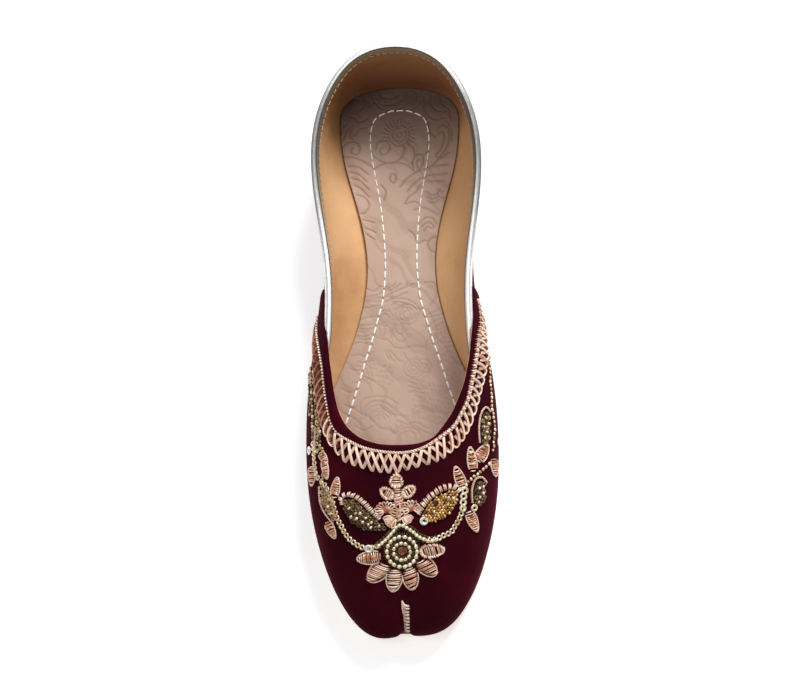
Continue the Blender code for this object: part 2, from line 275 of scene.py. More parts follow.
# A socket that sums, differences, products, quotients and clamps can be written with
class Wire:
    def __init__(self, finish, socket):
        self.finish = finish
        self.socket = socket

    def math(self, operation, a, b=None):
        values = {0: a} if b is None else {0: a, 1: b}
        return self.finish.node("ShaderNodeMath", {"operation": operation}, values)

    def __add__(self, other):
        return self.math("ADD", self, other)

    def __sub__(self, other):
        return self.math("SUBTRACT", self, other)

    def __rsub__(self, other):
        return self.math("SUBTRACT", other, self)

    def __mul__(self, other):
        return self.math("MULTIPLY", self, other)

    def __truediv__(self, other):
        return self.math("DIVIDE", self, other)

    def clamped(self):
        return self.math("MINIMUM", self.math("MAXIMUM", self, 0.0), 1.0)

    __radd__ = __add__
    __rmul__ = __mul__


class Finish:
    # one material, its shader and the ways to add to its nodes
    def __init__(self, name, **values):
        self.material = bpy.data.materials.new(name)
        self.material.use_nodes = True
        self.tree = self.material.node_tree
        self.shader = self.tree.nodes["Principled BSDF"]
        self.set(**values)

    def feed(self, socket, value):
        if isinstance(value, Wire):
            self.tree.links.new(value.socket, socket)
        elif socket.type == "RGBA" and len(value) == 3:
            socket.default_value = (*value, 1.0)
        else:
            socket.default_value = value

    def node(self, kind, settings=None, inputs=None, out=0):
        made = self.tree.nodes.new(kind)
        for name, value in (settings or {}).items():
            if name == "stops":
                ramp = made.color_ramp
                while len(ramp.elements) < len(value):
                    ramp.elements.new(1.0)
                for element, (place, color) in zip(ramp.elements, value):
                    element.position = place
                    element.color = (*color, 1.0)
            else:
                setattr(made, name, value)
        for name, value in (inputs or {}).items():
            self.feed(made.inputs[name], value)
        return Wire(self, made.outputs[out])

    def place(self):
        return self.node("ShaderNodeTexCoord", out=3)

    def axis(self, number, source=3):
        # one coordinate of the place on the piece, or with source 2 of its UV map
        whole = self.node("ShaderNodeTexCoord", out=source)
        return self.node("ShaderNodeSeparateXYZ", inputs={0: whole}, out=number)

    def stretched(self, scale):
        return self.node("ShaderNodeMapping", inputs={"Vector": self.place(), "Scale": scale})

    def noise(self, scale, detail=3.0, roughness=0.55, vector=None):
        inputs = {"Vector": vector or self.place(), "Scale": scale, "Detail": detail, "Roughness": roughness}
        return self.node("ShaderNodeTexNoise", inputs=inputs)

    def cells(self, scale, feature="F1", vector=None):
        inputs = {"Vector": vector or self.place(), "Scale": scale}
        return self.node("ShaderNodeTexVoronoi", {"feature": feature}, inputs)

    def painted(self, name):
        # the piece's own attribute of this name, as a number
        return self.node("ShaderNodeAttribute", {"attribute_name": name}, out=2)

    def ramp(self, factor, stops):
        return self.node("ShaderNodeValToRGB", {"stops": stops}, {"Fac": factor})

    def mixed(self, factor, first, second):
        return self.node("ShaderNodeMix", {"data_type": "RGBA"}, {0: factor, 6: first, 7: second}, out=2)

    def raised(self, height, distance, strength):
        inputs = {"Height": height, "Distance": distance, "Strength": strength}
        return self.node("ShaderNodeBump", inputs=inputs)

    def set(self, **values):
        for socket, value in values.items():
            self.feed(self.shader.inputs[socket.replace("_", " ")], value)
        return self.material


def srgb(*shown):
    # a colour named in 0-255 display values, as the shader wants it
    shares = [value / 255 for value in shown]
    return tuple(v / 12.92 if v <= 0.04045 else ((v + 0.055) / 1.055) ** 2.4 for v in shares)


# wine velvet: the pile, where it lies away, its edge sheen, and where it is brushed towards the light; that
# lighter lay colour is also painted sheen on the velvet's edges
velvet = {
    "pile": srgb(46, 4, 14),
    "shade": srgb(32, 4, 11),
    "sheen": srgb(150, 18, 56),
    "lay": srgb(74, 6, 24),
}


def velvetFinish():
    f = Finish("wineVelvet", Roughness=0.95, Sheen_Weight=0.20, Sheen_Roughness=0.30,
               Sheen_Tint=velvet["sheen"], Specular_IOR_Level=0.05)
    brushed = f.noise(36, 3, 0.5)
    flecks = f.noise(900, 2, 0.6)
    pile = f.noise(3200, 2, 0.7)
    ground = f.ramp(brushed, [(0.34, velvet["shade"]), (0.55, velvet["pile"]), (0.86, velvet["lay"])])
    grain = (flecks * 0.55 + pile * 0.45 - 0.22) * 1.7
    color = f.mixed(grain.clamped() * 0.4, ground, velvet["lay"])
    rim = f.node("ShaderNodeLayerWeight", inputs={"Blend": 0.32}, out=1)
    # painted sheen: the lay colour mixed in where the surface turns away from the view
    color = f.mixed(rim * 0.45, color, velvet["lay"])
    height = flecks * 0.6 + pile * 0.4
    return f.set(Base_Color=color, Normal=f.raised(height, 0.00025, 0.6))


lining = {
    "tan": srgb(222, 178, 131),
    "light": srgb(229, 187, 141),
    "dark": srgb(199, 151, 106),
    # heel is painted shade for the deep back of the heel cup
    "heel": srgb(92, 32, 4),
}


def liningFinish():
    f = Finish("liningLeather", Specular_IOR_Level=0.12)
    cloud = f.noise(30, 4, 0.6)
    pores = f.cells(900)
    fine = f.noise(2600, 3, 0.6)
    tone = f.ramp(cloud, [(0.28, lining["dark"]), (0.50, lining["tan"]), (0.76, lining["light"])])
    color = f.mixed((1 - pores) * 0.12, tone, lining["dark"])
    # painted shade, darker in the deep back of the heel cup, low at the back
    heelShade = ((f.axis(1) - 0.002) * 44.0).clamped() * (1.25 - f.axis(2) * 16.0).clamped()
    color = f.mixed(heelShade * 0.85, color, lining["heel"])
    height = pores * 0.7 + fine * 0.3
    return f.set(Base_Color=color, Roughness=0.46 + cloud * 0.18, Normal=f.raised(height, 0.00012, 0.45))


# binding colours: the outer grey is painted shade and painted dark reflection, the crease and heel colours
# are painted shade; silver and champagne are the foil's and the fold's own colours, worn is its wear
binding = {
    "outer": srgb(92, 94, 98),
    "silver": srgb(240, 240, 237),
    "creaseShade": srgb(84, 74, 62),
    "champagne": srgb(206, 186, 152),
    "heel": srgb(104, 74, 50),
    "worn": srgb(150, 140, 124),
}


def bindingFinish():
    # foil over leather: grey outside as painted shade, bright on the roll, a dark crease of painted shade,
    # champagne on the inner fold, with more painted shade and a painted dark reflection towards the heel
    f = Finish("silverLeather", Coat_Weight=0.1, Coat_Roughness=0.3)
    across = f.axis(1, 2)
    crackle = f.cells(1300, "DISTANCE_TO_EDGE")
    wear = f.noise(240, 4, 0.65)
    # in these bands the grey outside and the dark crease are painted shade
    bands = ((0.262, "outer"), (0.292, "silver"), (0.405, "silver"), (0.425, "creaseShade"), (0.445, "creaseShade"),
             (0.466, "champagne"))
    tone = f.ramp(across, [(at, binding[band]) for at, band in bands])
    along = f.axis(1)
    # painted shade: the champagne fold turns brown towards the heel
    heelward = ((along + 0.035) * 22.0).clamped()
    tone = f.mixed(heelward * ((across - 0.44) * 50.0).clamped() * 0.7, tone, binding["heel"])
    # painted dark reflection: the silver greyed along the sides and back
    sides = ((along + 0.045) * 30.0).clamped() * (1.0 - ((along - 0.006) * 60.0).clamped())
    tone = f.mixed(sides * 0.68, tone, binding["outer"])
    # towards the front the outside keeps its silver, without the grey painted shade
    front = ((-0.035 - along) * 40.0).clamped() * ((0.30 - across) * 60.0).clamped()
    tone = f.mixed(front * 0.85, tone, binding["silver"])
    foil = 0.72 - ((across - 0.44) * 40.0).clamped() * 0.5
    color = f.mixed(((wear - 0.5) * 2.2).clamped() * 0.55, tone, binding["worn"])
    height = (crackle * 9.0).clamped() * 0.6 + wear * 0.4
    return f.set(Base_Color=color, Metallic=foil, Roughness=0.30 + wear * 0.2,
                 Normal=f.raised(height, 0.00010, 0.5))


def placed(data, name):
    made = bpy.data.objects.new(name, data)
    bpy.context.scene.collection.objects.link(made)
    return made


def dressed(piece, finish):
    piece.data.materials.clear()
    piece.data.materials.append(finish)
    for face in piece.data.polygons:
        face.use_smooth = True
    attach(piece, "root")
    return piece


def chosen(piece):
    bpy.ops.object.select_all(action="DESELECT")
    bpy.context.view_layer.objects.active = piece
    piece.select_set(True)


def editing(piece):
    chosen(piece)
    bpy.ops.object.mode_set(mode="EDIT")
    bpy.ops.mesh.select_all(action="SELECT")


def editingDone():
    bpy.ops.object.mode_set(mode="OBJECT")
    bpy.ops.object.select_all(action="DESELECT")


def facedOut():
    bpy.ops.mesh.select_all(action="SELECT")
    bpy.ops.mesh.normals_make_consistent(inside=False)
    editingDone()


def drapedGrid(name, columns, lines, place, joined=False, turned=True):
    # a grid primitive laid on the last: place takes each point's (across, up) from 0 to 1
    bpy.ops.mesh.primitive_grid_add(x_subdivisions=columns, y_subdivisions=lines, size=2, calc_uvs=True)
    piece = bpy.context.active_object
    piece.name = name
    flat = np.empty(len(piece.data.vertices) * 3)
    piece.data.vertices.foreach_get("co", flat)
    flat = (flat.reshape(-1, 3) + 1) / 2
    points = place(flat[:, 0], flat[:, 1])
    piece.data.vertices.foreach_set("co", np.ascontiguousarray(points, float).ravel())
    piece.data.update()
    editing(piece)
    if joined:
        bpy.ops.mesh.remove_doubles(threshold=0.000002)
    if turned:
        bpy.ops.mesh.flip_normals()
    editingDone()
    return piece


def applied(piece, kind, **settings):
    bpy.context.view_layer.objects.active = piece
    modifier = piece.modifiers.new(kind.lower(), kind)
    for key, value in settings.items():
        setattr(modifier, key, value)
    bpy.ops.object.modifier_apply(modifier=modifier.name)


def stepped(level, counts):
    # splits a 0-1 level into stretches of these numbers of rows: which stretch, and how far along it
    place = level * sum(counts)
    edges = np.concatenate(((0,), np.cumsum(counts)))
    stretch = np.clip(np.searchsorted(edges, place, side="right") - 1, 0, len(counts) - 1)
    return stretch, (place - edges[stretch]) / np.array(counts)[stretch]


vampSizes = {
    "earTip": 0.405,
    "earFoot": 0.460,
    "earCurve": 1.5,
    "underBinding": 0.0019,
    "riseStart": 0.445,
    "riseEnd": 0.505,
    "crossStart": 0.455,
    "crossEnd": 0.555,
    "hump": 0.0009,
    "rolled": 0.0002,
    "pastSooner": 0.02,
    "pastLater": 0.03,
    "edgeThickness": 0.0011,
    "columns": 300,
    "rows": (56, 10, 6),  # body, fold, and the leg tucked inside
    "legLength": 0.0004,
    "foldedInside": 0.0050,
    "pileThickness": 0.0007,
    "foldHeight": 0.75,
}
# soft dents of the stuffed velvet: side, along, half length, half width (mm), depth (mm), heading (degrees)
vampDents = (
    (-24, 176, 14, 5, 0.35, 20),
    (26, 182, 16, 5, 0.40, -15),
    (0, 239, 7, 2.3, 2.30, 0),
    (-8, 224, 8, 2.4, 0.40, 15),
    (8, 224, 8, 2.4, 0.40, -12),
    (-21, 222, 9, 2.6, 0.35, 38),
    (21, 221, 9, 2.6, 0.35, -40),
    (4, 214, 9, 3.5, 0.25, 10),
    (-15, 205, 12, 4, 0.30, 25),
    (17, 208, 12, 4, 0.30, -28),
)
earTipTurn = turnOfAlong(vampSizes["earTip"], 3)
earFootTurn = turnOfAlong(vampSizes["earFoot"], 1)
vampOffset = last["upperWall"] + last["gap"] + last["vampWall"]


def velvetEdge(near):
    # how far below the topline the velvet's edge is, how far in its inner side lies, and how far it has
    # crossed from outside the binding to over the rim
    along = rowAt(near)[0][..., 3] / last["soleLength"]
    rise = smoothStep(along, vampSizes["riseStart"], vampSizes["riseEnd"])
    cross = smoothStep(along, vampSizes["crossStart"], vampSizes["crossEnd"])
    over = vampSizes["crossEnd"]
    past = smoothStep(along, over - vampSizes["pastSooner"], over + vampSizes["pastLater"])
    drop = vampSizes["underBinding"] * (1 - rise) - vampSizes["hump"] * rise * (1 - past)
    inner = (vampOffset - vampSizes["edgeThickness"]) * (1 - cross) - vampSizes["rolled"] * cross
    return drop, inner, cross


# how far inward the velvet's edge runs in plan, mm, by share along: this throat's two sides differ
throatShifts = {
    "left": ((0.49, 0), (0.536, 0.3), (0.556, 0.85), (0.575, 1.25), (0.592, 1.2), (0.608, 0.86),
             (0.634, 0.05), (0.652, -0.65), (0.665, -0.88), (0.676, -0.76), (0.685, -0.5)),
    "right": ((0.45, 0), (0.494, -0.6), (0.515, -0.51), (0.536, -0.14), (0.556, 0.88), (0.575, 1.84),
              (0.592, 2.7), (0.608, 3.13), (0.634, 3.25), (0.644, 3.04), (0.652, 2.57), (0.659, 1.96),
              (0.665, 1.19), (0.673, 0.37), (0.679, -0.1), (0.685, -0.5)),
}
shiftNear = np.linspace(toeTurn, earTipTurn, 300)
shiftLine = skinPoint(shiftNear, shareBelowRim(shiftNear, velvetEdge(shiftNear)[0]), velvetEdge(shiftNear)[1])
shiftWay = np.gradient(shiftLine, axis=0)
shiftInward = unit(np.stack((-shiftWay[:, 1], shiftWay[:, 0], 0 * shiftNear), -1))


def throatShift(turn, near, level):
    along = rowAt(near)[0][..., 3] / last["soleLength"]
    left, right = (np.interp(along, *np.array(throatShifts[side]).T) for side in ("left", "right"))
    amount = np.where(turn < toeTurn, right, left) * smoothStep(level, 0.70, 1.0) * mm
    inward = np.stack([np.interp(near, shiftNear, shiftInward[:, k]) for k in range(3)], -1)
    inward[..., 0] *= np.where(turn < toeTurn, 1, -1)
    return inward * amount[..., None]


def dentDepth(turn, share):
    points = lastPoint(turn, share)
    depth = np.zeros(points.shape[:-1])
    for side, along, length, width, deep, heading in vampDents:
        dx = points[..., 0] - side * mm
        dy = points[..., 1] - along * mm
        c, s = math.cos(math.radians(heading)), math.sin(math.radians(heading))
        depth += deep * mm * bump(dx * s + dy * c, length * mm) * bump(dx * c - dy * s, width * mm)
    return depth


def vampPlace(across, up):
    stretch, part = stepped(up, vampSizes["rows"])
    level = np.where(stretch == 0, part, 1.0)
    edge = earFootTurn + (earTipTurn - earFootTurn) * level ** vampSizes["earCurve"]
    spread = 2 * across - 1
    turn = toeTurn + (toeTurn - edge) * spread
    near = toeTurn - (toeTurn - edge) * np.abs(spread)
    drop, inner, cross = velvetEdge(near)
    share = level * shareBelowRim(near, drop)
    outer = vampOffset - dentDepth(turn, share)
    half, middle = (outer - inner) / 2, (outer + inner) / 2
    angle = math.pi * np.where(stretch == 1, part, 0)
    offset = np.select((stretch == 0, stretch == 1), (outer, middle + half * np.cos(angle)), inner)
    fold = half * vampSizes["foldHeight"] * np.sin(angle)
    leg = -part * (vampSizes["legLength"] + vampSizes["foldedInside"] * cross ** 3)
    lift = np.select((stretch == 0, stretch == 1), (0.0 * half, fold), leg)
    return skinPoint(turn, share, offset, lift) + throatShift(turn, near, level)


def makeVamp(finish):
    # the velvet's outer skin is handed on, for the embroidery to lie on
    piece = drapedGrid("velvet_vamp", vampSizes["columns"], sum(vampSizes["rows"]), vampPlace)
    skin = piece.data.copy()
    applied(piece, "SOLIDIFY", thickness=vampSizes["pileThickness"], offset=-1)
    dressed(piece, finish)
    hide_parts("vamp")
    return skin


# the quarters' thin velvet, from under one ear round the heel to the other; the reach is in turns
quarterSizes = {
    "columns": 230,
    "rows": 34,
    "offset": 0.0016,
    "thickness": 0.0005,
    "underVamp": 0.6,
    "belowRim": 0.0006,
}


def quarterPlace(across, up):
    reach = earFootTurn + quarterSizes["underVamp"]
    turn = (2 * across - 1) * reach
    share = up * shareBelowRim(turn, quarterSizes["belowRim"])
    return skinPoint(turn, share, quarterSizes["offset"])


def makeQuarters(finish):
    piece = drapedGrid("velvet_quarters", quarterSizes["columns"], quarterSizes["rows"], quarterPlace)
    applied(piece, "SOLIDIFY", thickness=quarterSizes["thickness"], offset=-1)
    dressed(piece, finish)


liningSizes = {
    "columns": 280,
    "rows": 40,
    "thickness": 0.0007,
    "belowRim": 0.0005,
}
# slack folds of the lining: turn, half width in turns, rise off the wall (mm), from share, to share
liningFolds = (
    (6.7, 0.16, 0.35, 0.25, 1.0),
    (7.25, 0.14, 0.28, 0.3, 1.0),
    (21.2, 0.16, 0.35, 0.25, 1.0),
    (20.7, 0.15, 0.25, 0.3, 1.0),
    (4.1, 0.25, 0.20, 0.1, 0.9),
    (24.2, 0.25, 0.20, 0.1, 0.9),
    (1.6, 0.22, 0.22, 0.0, 0.8),
    (26.6, 0.22, 0.22, 0.0, 0.8),
)


def liningPlace(across, up):
    turn = across * fullTurn
    share = up * shareBelowRim(turn, liningSizes["belowRim"])
    slack = np.zeros_like(turn)
    for at, spread, rise, low, high in liningFolds:
        slack += rise * mm * bump(turn - at, spread) * smoothStep(share, low, (low + high) / 2)
    return skinPoint(turn, share, -slack)


def makeLining(finish):
    piece = drapedGrid("lining", liningSizes["columns"], liningSizes["rows"], liningPlace, joined=True)
    applied(piece, "SOLIDIFY", thickness=liningSizes["thickness"], offset=1)
    dressed(piece, finish)
    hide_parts("upper")


# the folded strip in cross-section: out of the wall and up past the rim, in mm, outside to inside
bindingProfile = (
    (1.75, -1.75), (2.25, -1.70), (2.42, -1.30), (2.45, -0.50), (2.42, 0.30), (2.15, 1.00), (1.60, 1.48),
    (0.90, 1.62), (0.20, 1.42), (-0.30, 0.90), (-0.58, 0.20), (-0.80, -0.40), (-0.92, -0.75), (-1.00, -1.00),
    (-1.06, -1.30), (-1.12, -2.00), (-1.10, -2.80), (-0.98, -3.30), (-0.60, -3.50), (-0.05, -3.45),
)
bindingSizes = {
    "columns": 420,
    "end": 0.553,
    "narrowStart": 0.455,
    "narrowLength": 0.03,
    "underVelvet": 0.0003,
    "fullWidth": 0.003,
    "sinkStart": 0.475,
    "sunkTop": -0.0004,
    "sunkShare": 0.8,
    "innerHem": -0.0035,
    "hemRise": 0.0022,
    "hemRiseLength": 0.05,
    "thickness": 0.0003,
}


def bindingPlace(across, up):
    # towards its ends the strip narrows from outside and sinks under the velvet
    b = bindingSizes
    turn = (2 * across - 1) * turnOfAlong(b["end"], 3)
    profile = np.array(bindingProfile) * mm
    at = up * (len(profile) - 1)
    offset, lift = (np.interp(at, range(len(profile)), profile[:, k]) for k in (0, 1))
    along = rowAt(np.abs(turn))[0][..., 3] / last["soleLength"]
    _, inner, _ = velvetEdge(np.abs(turn))
    narrow = smoothStep(along, b["narrowStart"], b["narrowStart"] + b["narrowLength"])
    limit = inner + b["underVelvet"] + (1 - narrow) * b["fullWidth"]
    offset = np.minimum(offset, np.maximum(limit, 0.2 * offset - b["thickness"]))
    sink = smoothStep(along, b["sinkStart"], b["end"])
    lift = lift - np.maximum(lift - b["sunkTop"], 0) * b["sunkShare"] * sink
    hem = b["innerHem"] + b["hemRise"] * smoothStep(along, b["end"] - b["hemRiseLength"], b["end"])
    return skinPoint(turn, 1.0, offset, np.maximum(lift, hem))


def makeBinding(finish):
    lines = len(bindingProfile) - 1
    piece = drapedGrid("topline_binding_strip", bindingSizes["columns"], lines, bindingPlace)
    applied(piece, "SOLIDIFY", thickness=bindingSizes["thickness"], offset=-1)
    applied(piece, "SUBSURF", levels=1, render_levels=1)
    dressed(piece, finish)
    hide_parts("topline_binding")


stageSizes = {
    "floorHalf": 3.0,
    "floorTone": (0.93, 0.93, 0.93),
    "worldTone": (1.0, 1.0, 1.0),
    "worldStrength": 0.30,
    "floorGlow": 0.46,
    "lampsAim": (0, -0.09, 0.02),
}
# area lights: where from, size, watts
lamps = {
    "window": ((0.50, 1.05, 1.10), 0.7, 29.0),
    "overhead": ((-0.35, -0.25, 1.60), 0.9, 7.0),
}


def makeStage():
    bpy.ops.mesh.primitive_plane_add(size=2 * stageSizes["floorHalf"], location=(0, 0, 0))
    floor = bpy.context.active_object
    floor.name = "pale_floor"
    f = Finish("paleFloor", Base_Color=stageSizes["floorTone"], Roughness=0.8, Emission_Color=(1, 1, 1),
               Emission_Strength=stageSizes["floorGlow"])
    floor.data.materials.append(f.material)
    world = bpy.data.worlds.new("studio")
    world.use_nodes = True
    sky = world.node_tree.nodes["Background"].inputs
    sky[0].default_value = (*stageSizes["worldTone"], 1)
    sky[1].default_value = stageSizes["worldStrength"]
    bpy.context.scene.world = world
    for name, (place, size, watts) in lamps.items():
        light = bpy.data.lights.new(name, "AREA")
        light.shape = "DISK"
        light.size = size
        light.energy = watts
        lamp = placed(light, name)
        lamp.location = place
        aim = Vector(stageSizes["lampsAim"]) - lamp.location
        lamp.rotation_mode = "QUATERNION"
        lamp.rotation_quaternion = aim.to_track_quat("-Z", "Y")
    bpy.context.scene.view_settings.view_transform = "Standard"


# The photograph's camera, fitted to this shoe's outline: angles in degrees, focal length in pixels
photo = {
    "aim": (0.0467, -0.0855, 0.0),
    "distance": 0.930,
    "tilt": 10.0,
    "roll": -1.17,
    "focal": 2144.0,
    "size": (800, 684),
}


def photoAxes():
    tilt, roll = math.radians(photo["tilt"]), math.radians(photo["roll"])
    back = np.array((0.0, -math.sin(tilt), math.cos(tilt)))
    right = np.array((1.0, 0.0, 0.0))
    up = np.cross(back, right)
    turnedRight = math.cos(roll) * right + math.sin(roll) * up
    turnedUp = math.cos(roll) * up - math.sin(roll) * right
    return np.array(photo["aim"]) + back * photo["distance"], turnedRight, turnedUp, back


def photoRay(px, py):
    eye, right, up, back = photoAxes()
    width, height = photo["size"]
    ray = (px - width / 2) / photo["focal"] * right - (py - height / 2) / photo["focal"] * up - back
    return eye, ray / np.linalg.norm(ray)


def makeCamera():
    eye, right, up, _ = photoAxes()
    middle = np.array(((cadLow + cadHigh) / 2)[:])
    back = unit(eye - middle)
    across = unit(np.cross(up, back))
    rise = np.cross(back, across)
    data = bpy.data.cameras.new("photoCamera")
    data.sensor_width = 36.0
    data.lens = photo["focal"] * data.sensor_width / photo["size"][0]
    data.clip_start, data.clip_end = 0.05, 20.0
    camera = placed(data, "photoCamera")
    camera.matrix_world = Matrix([(across[k], rise[k], back[k], eye[k]) for k in range(3)] + [(0, 0, 0, 1)])
    bpy.context.scene.camera = camera


roller = random.Random(7)  # every small irregularity of the handwork comes from here, in order


def jitter(size):
    return roller.uniform(-size, size)


def runOf(points):
    return np.concatenate(((0,), np.cumsum(np.linalg.norm(np.diff(points, axis=0), axis=1))))


def wayAt(angle):
    # the unit vector at an angle, or at each of many
    return np.stack((np.cos(angle), np.sin(angle)), -1)


def smoothLine(points, step, closed=False):
    # a smooth curve through the points, with points of its own every step
    points = np.array(points, float)
    if closed:
        ends = np.vstack((points[-1:], points, points[:2]))
    else:
        ends = np.vstack((2 * points[:1] - points[1:2], points, 2 * points[-1:] - points[-2:-1]))
    t = np.linspace(0, 1, 12, endpoint=False)[:, None]
    spans = []
    for a, b, c, d in zip(ends, ends[1:], ends[2:], ends[3:]):
        bend, twist = 2 * a - 5 * b + 4 * c - d, 3 * b - a - 3 * c + d
        spans.append(0.5 * (2 * b + (c - a) * t + bend * t**2 + twist * t**3))
    line = np.vstack(spans + [ends[-2:-1]])
    run = runOf(line)
    at = np.linspace(0, run[-1], max(2, int(round(run[-1] / step)) + 1))
    return np.stack([np.interp(at, run, line[:, k]) for k in range(line.shape[1])], -1)


outlineTurns = np.linspace(0, toeTurn, 2801)


def halfWidths(offset, toeSlim=0.0):
    # the outline that is this far off the last's foot: distances along, and the half width at each
    foot, outward = footAt(outlineTurns)
    points = foot + outward * (offset - toeSlim * smoothStep(outlineTurns, toeTurn - 3, toeTurn))[:, None]
    points[[0, -1], 0] = 0.0
    return points[:, 1], np.maximum(points[:, 0], 0)


soleSizes = {
    "columns": 64,
    "rows": 220,
    "edgeSteps": 5,
    "edgeRound": 0.0007,
    "toeSlim": 0.0014,
    "smoothBelow": 50,
}


def makePlate(name, offset, start, end, top, bottom, finish, node, flatEnd=False):
    # one sheet of sole leather with rounded edges, pointed at both ends or cut straight at its front
    alongs, halves = halfWidths(offset, soleSizes["toeSlim"])
    start, end = max(start, alongs[0]), min(end, alongs[-1])
    wide, steps = soleSizes["columns"], soleSizes["edgeSteps"]
    turns = wayAt(np.linspace(0, 1, steps + 1) * math.pi / 2)
    # the section once round: share of the flat, out along the round, in from the face, and 1 for the top
    section = [(k / wide * 2 - 1, 0, 0, 1) for k in range(wide + 1)]
    section += [(1, sine, 1 - cosine, 1) for cosine, sine in turns[1:]]
    section += [(1, cosine, 1 - sine, 0) for cosine, sine in turns]
    section += [(1 - k / wide * 2, 0, 0, 0) for k in range(1, wide + 1)]
    section += [(-1, -sine, 1 - cosine, 0) for cosine, sine in turns[1:]]
    section += [(-1, -cosine, 1 - sine, 1) for cosine, sine in turns[:-1]]
    section = np.array(section + [section[0]])

    def place(across, up):
        ease = 1 - np.cos(np.pi / 2 * up) if flatEnd else (1 - np.cos(np.pi * up)) / 2
        along = start + (end - start) * ease
        half = np.interp(along, alongs, halves)
        flat, out, drop, onTop = section[np.rint(across * (len(section) - 1)).astype(int)].T
        r = np.minimum(soleSizes["edgeRound"], half)
        height = np.where(onTop == 1, top(along) - r * drop, bottom(along) + r * drop)
        return toFrame(np.stack((flat * (half - r) + r * out, along, height), -1))

    piece = drapedGrid(name, len(section) - 1, soleSizes["rows"], place, joined=True, turned=False)
    editing(piece)
    bpy.ops.mesh.select_all(action="DESELECT")
    bpy.ops.mesh.select_non_manifold(extend=False)
    bpy.ops.mesh.edge_face_add()
    facedOut()
    dressed(piece, finish)
    chosen(piece)
    bpy.ops.object.shade_smooth_by_angle(angle=math.radians(soleSizes["smoothBelow"]))
    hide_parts(node)


sole = {
    "tan": srgb(150, 104, 66),
    "dark": srgb(84, 52, 30),
    "worn": srgb(186, 144, 100),
}


def soleFinish(name, tone, worn, scuff):
    # veg-tanned leather: clouds, long scuffs towards the toe, and pores
    f = Finish(name, Specular_IOR_Level=0.35)
    cloud = f.noise(38, 5, 0.6)
    scuffs = f.noise(1.0, 4, 0.65, f.stretched((420, 60, 420)))
    pores = f.cells(1500)
    tinted = f.mixed((cloud * 1.4 - 0.2).clamped(), tone, worn)
    worked = f.mixed(((scuffs - 0.52) * scuff).clamped(), tinted, sole["dark"])
    height = scuffs * 0.5 + pores * 0.35 + cloud * 0.3
    return f.set(Base_Color=worked, Roughness=0.5 + scuffs * 0.25, Normal=f.raised(height, 0.00015, 0.5))


insoleSizes = {
    "inset": -0.0002,
    "columns": 194,
    "edgeRound": 0.0004,
    "fineEnd": 0.1560,
    "fineRows": 420,
    "frontRows": 34,
    "grooveHalf": 0.00036,
    "grooveDepth": 0.00034,
    "heelStart": 0.08,  # this first share of the fine rows lies closer, over this share of their length
    "heelShare": 0.04,
    "edgeSteps": (1.0, 0.88, 0.7, 0.45, 0.2, 0.0),
    "shallower": ((0.065, 0.105), (1.2, 0.45)),  # grooves along the sock: from, to, their depths
    "underside": 0.00005,
}
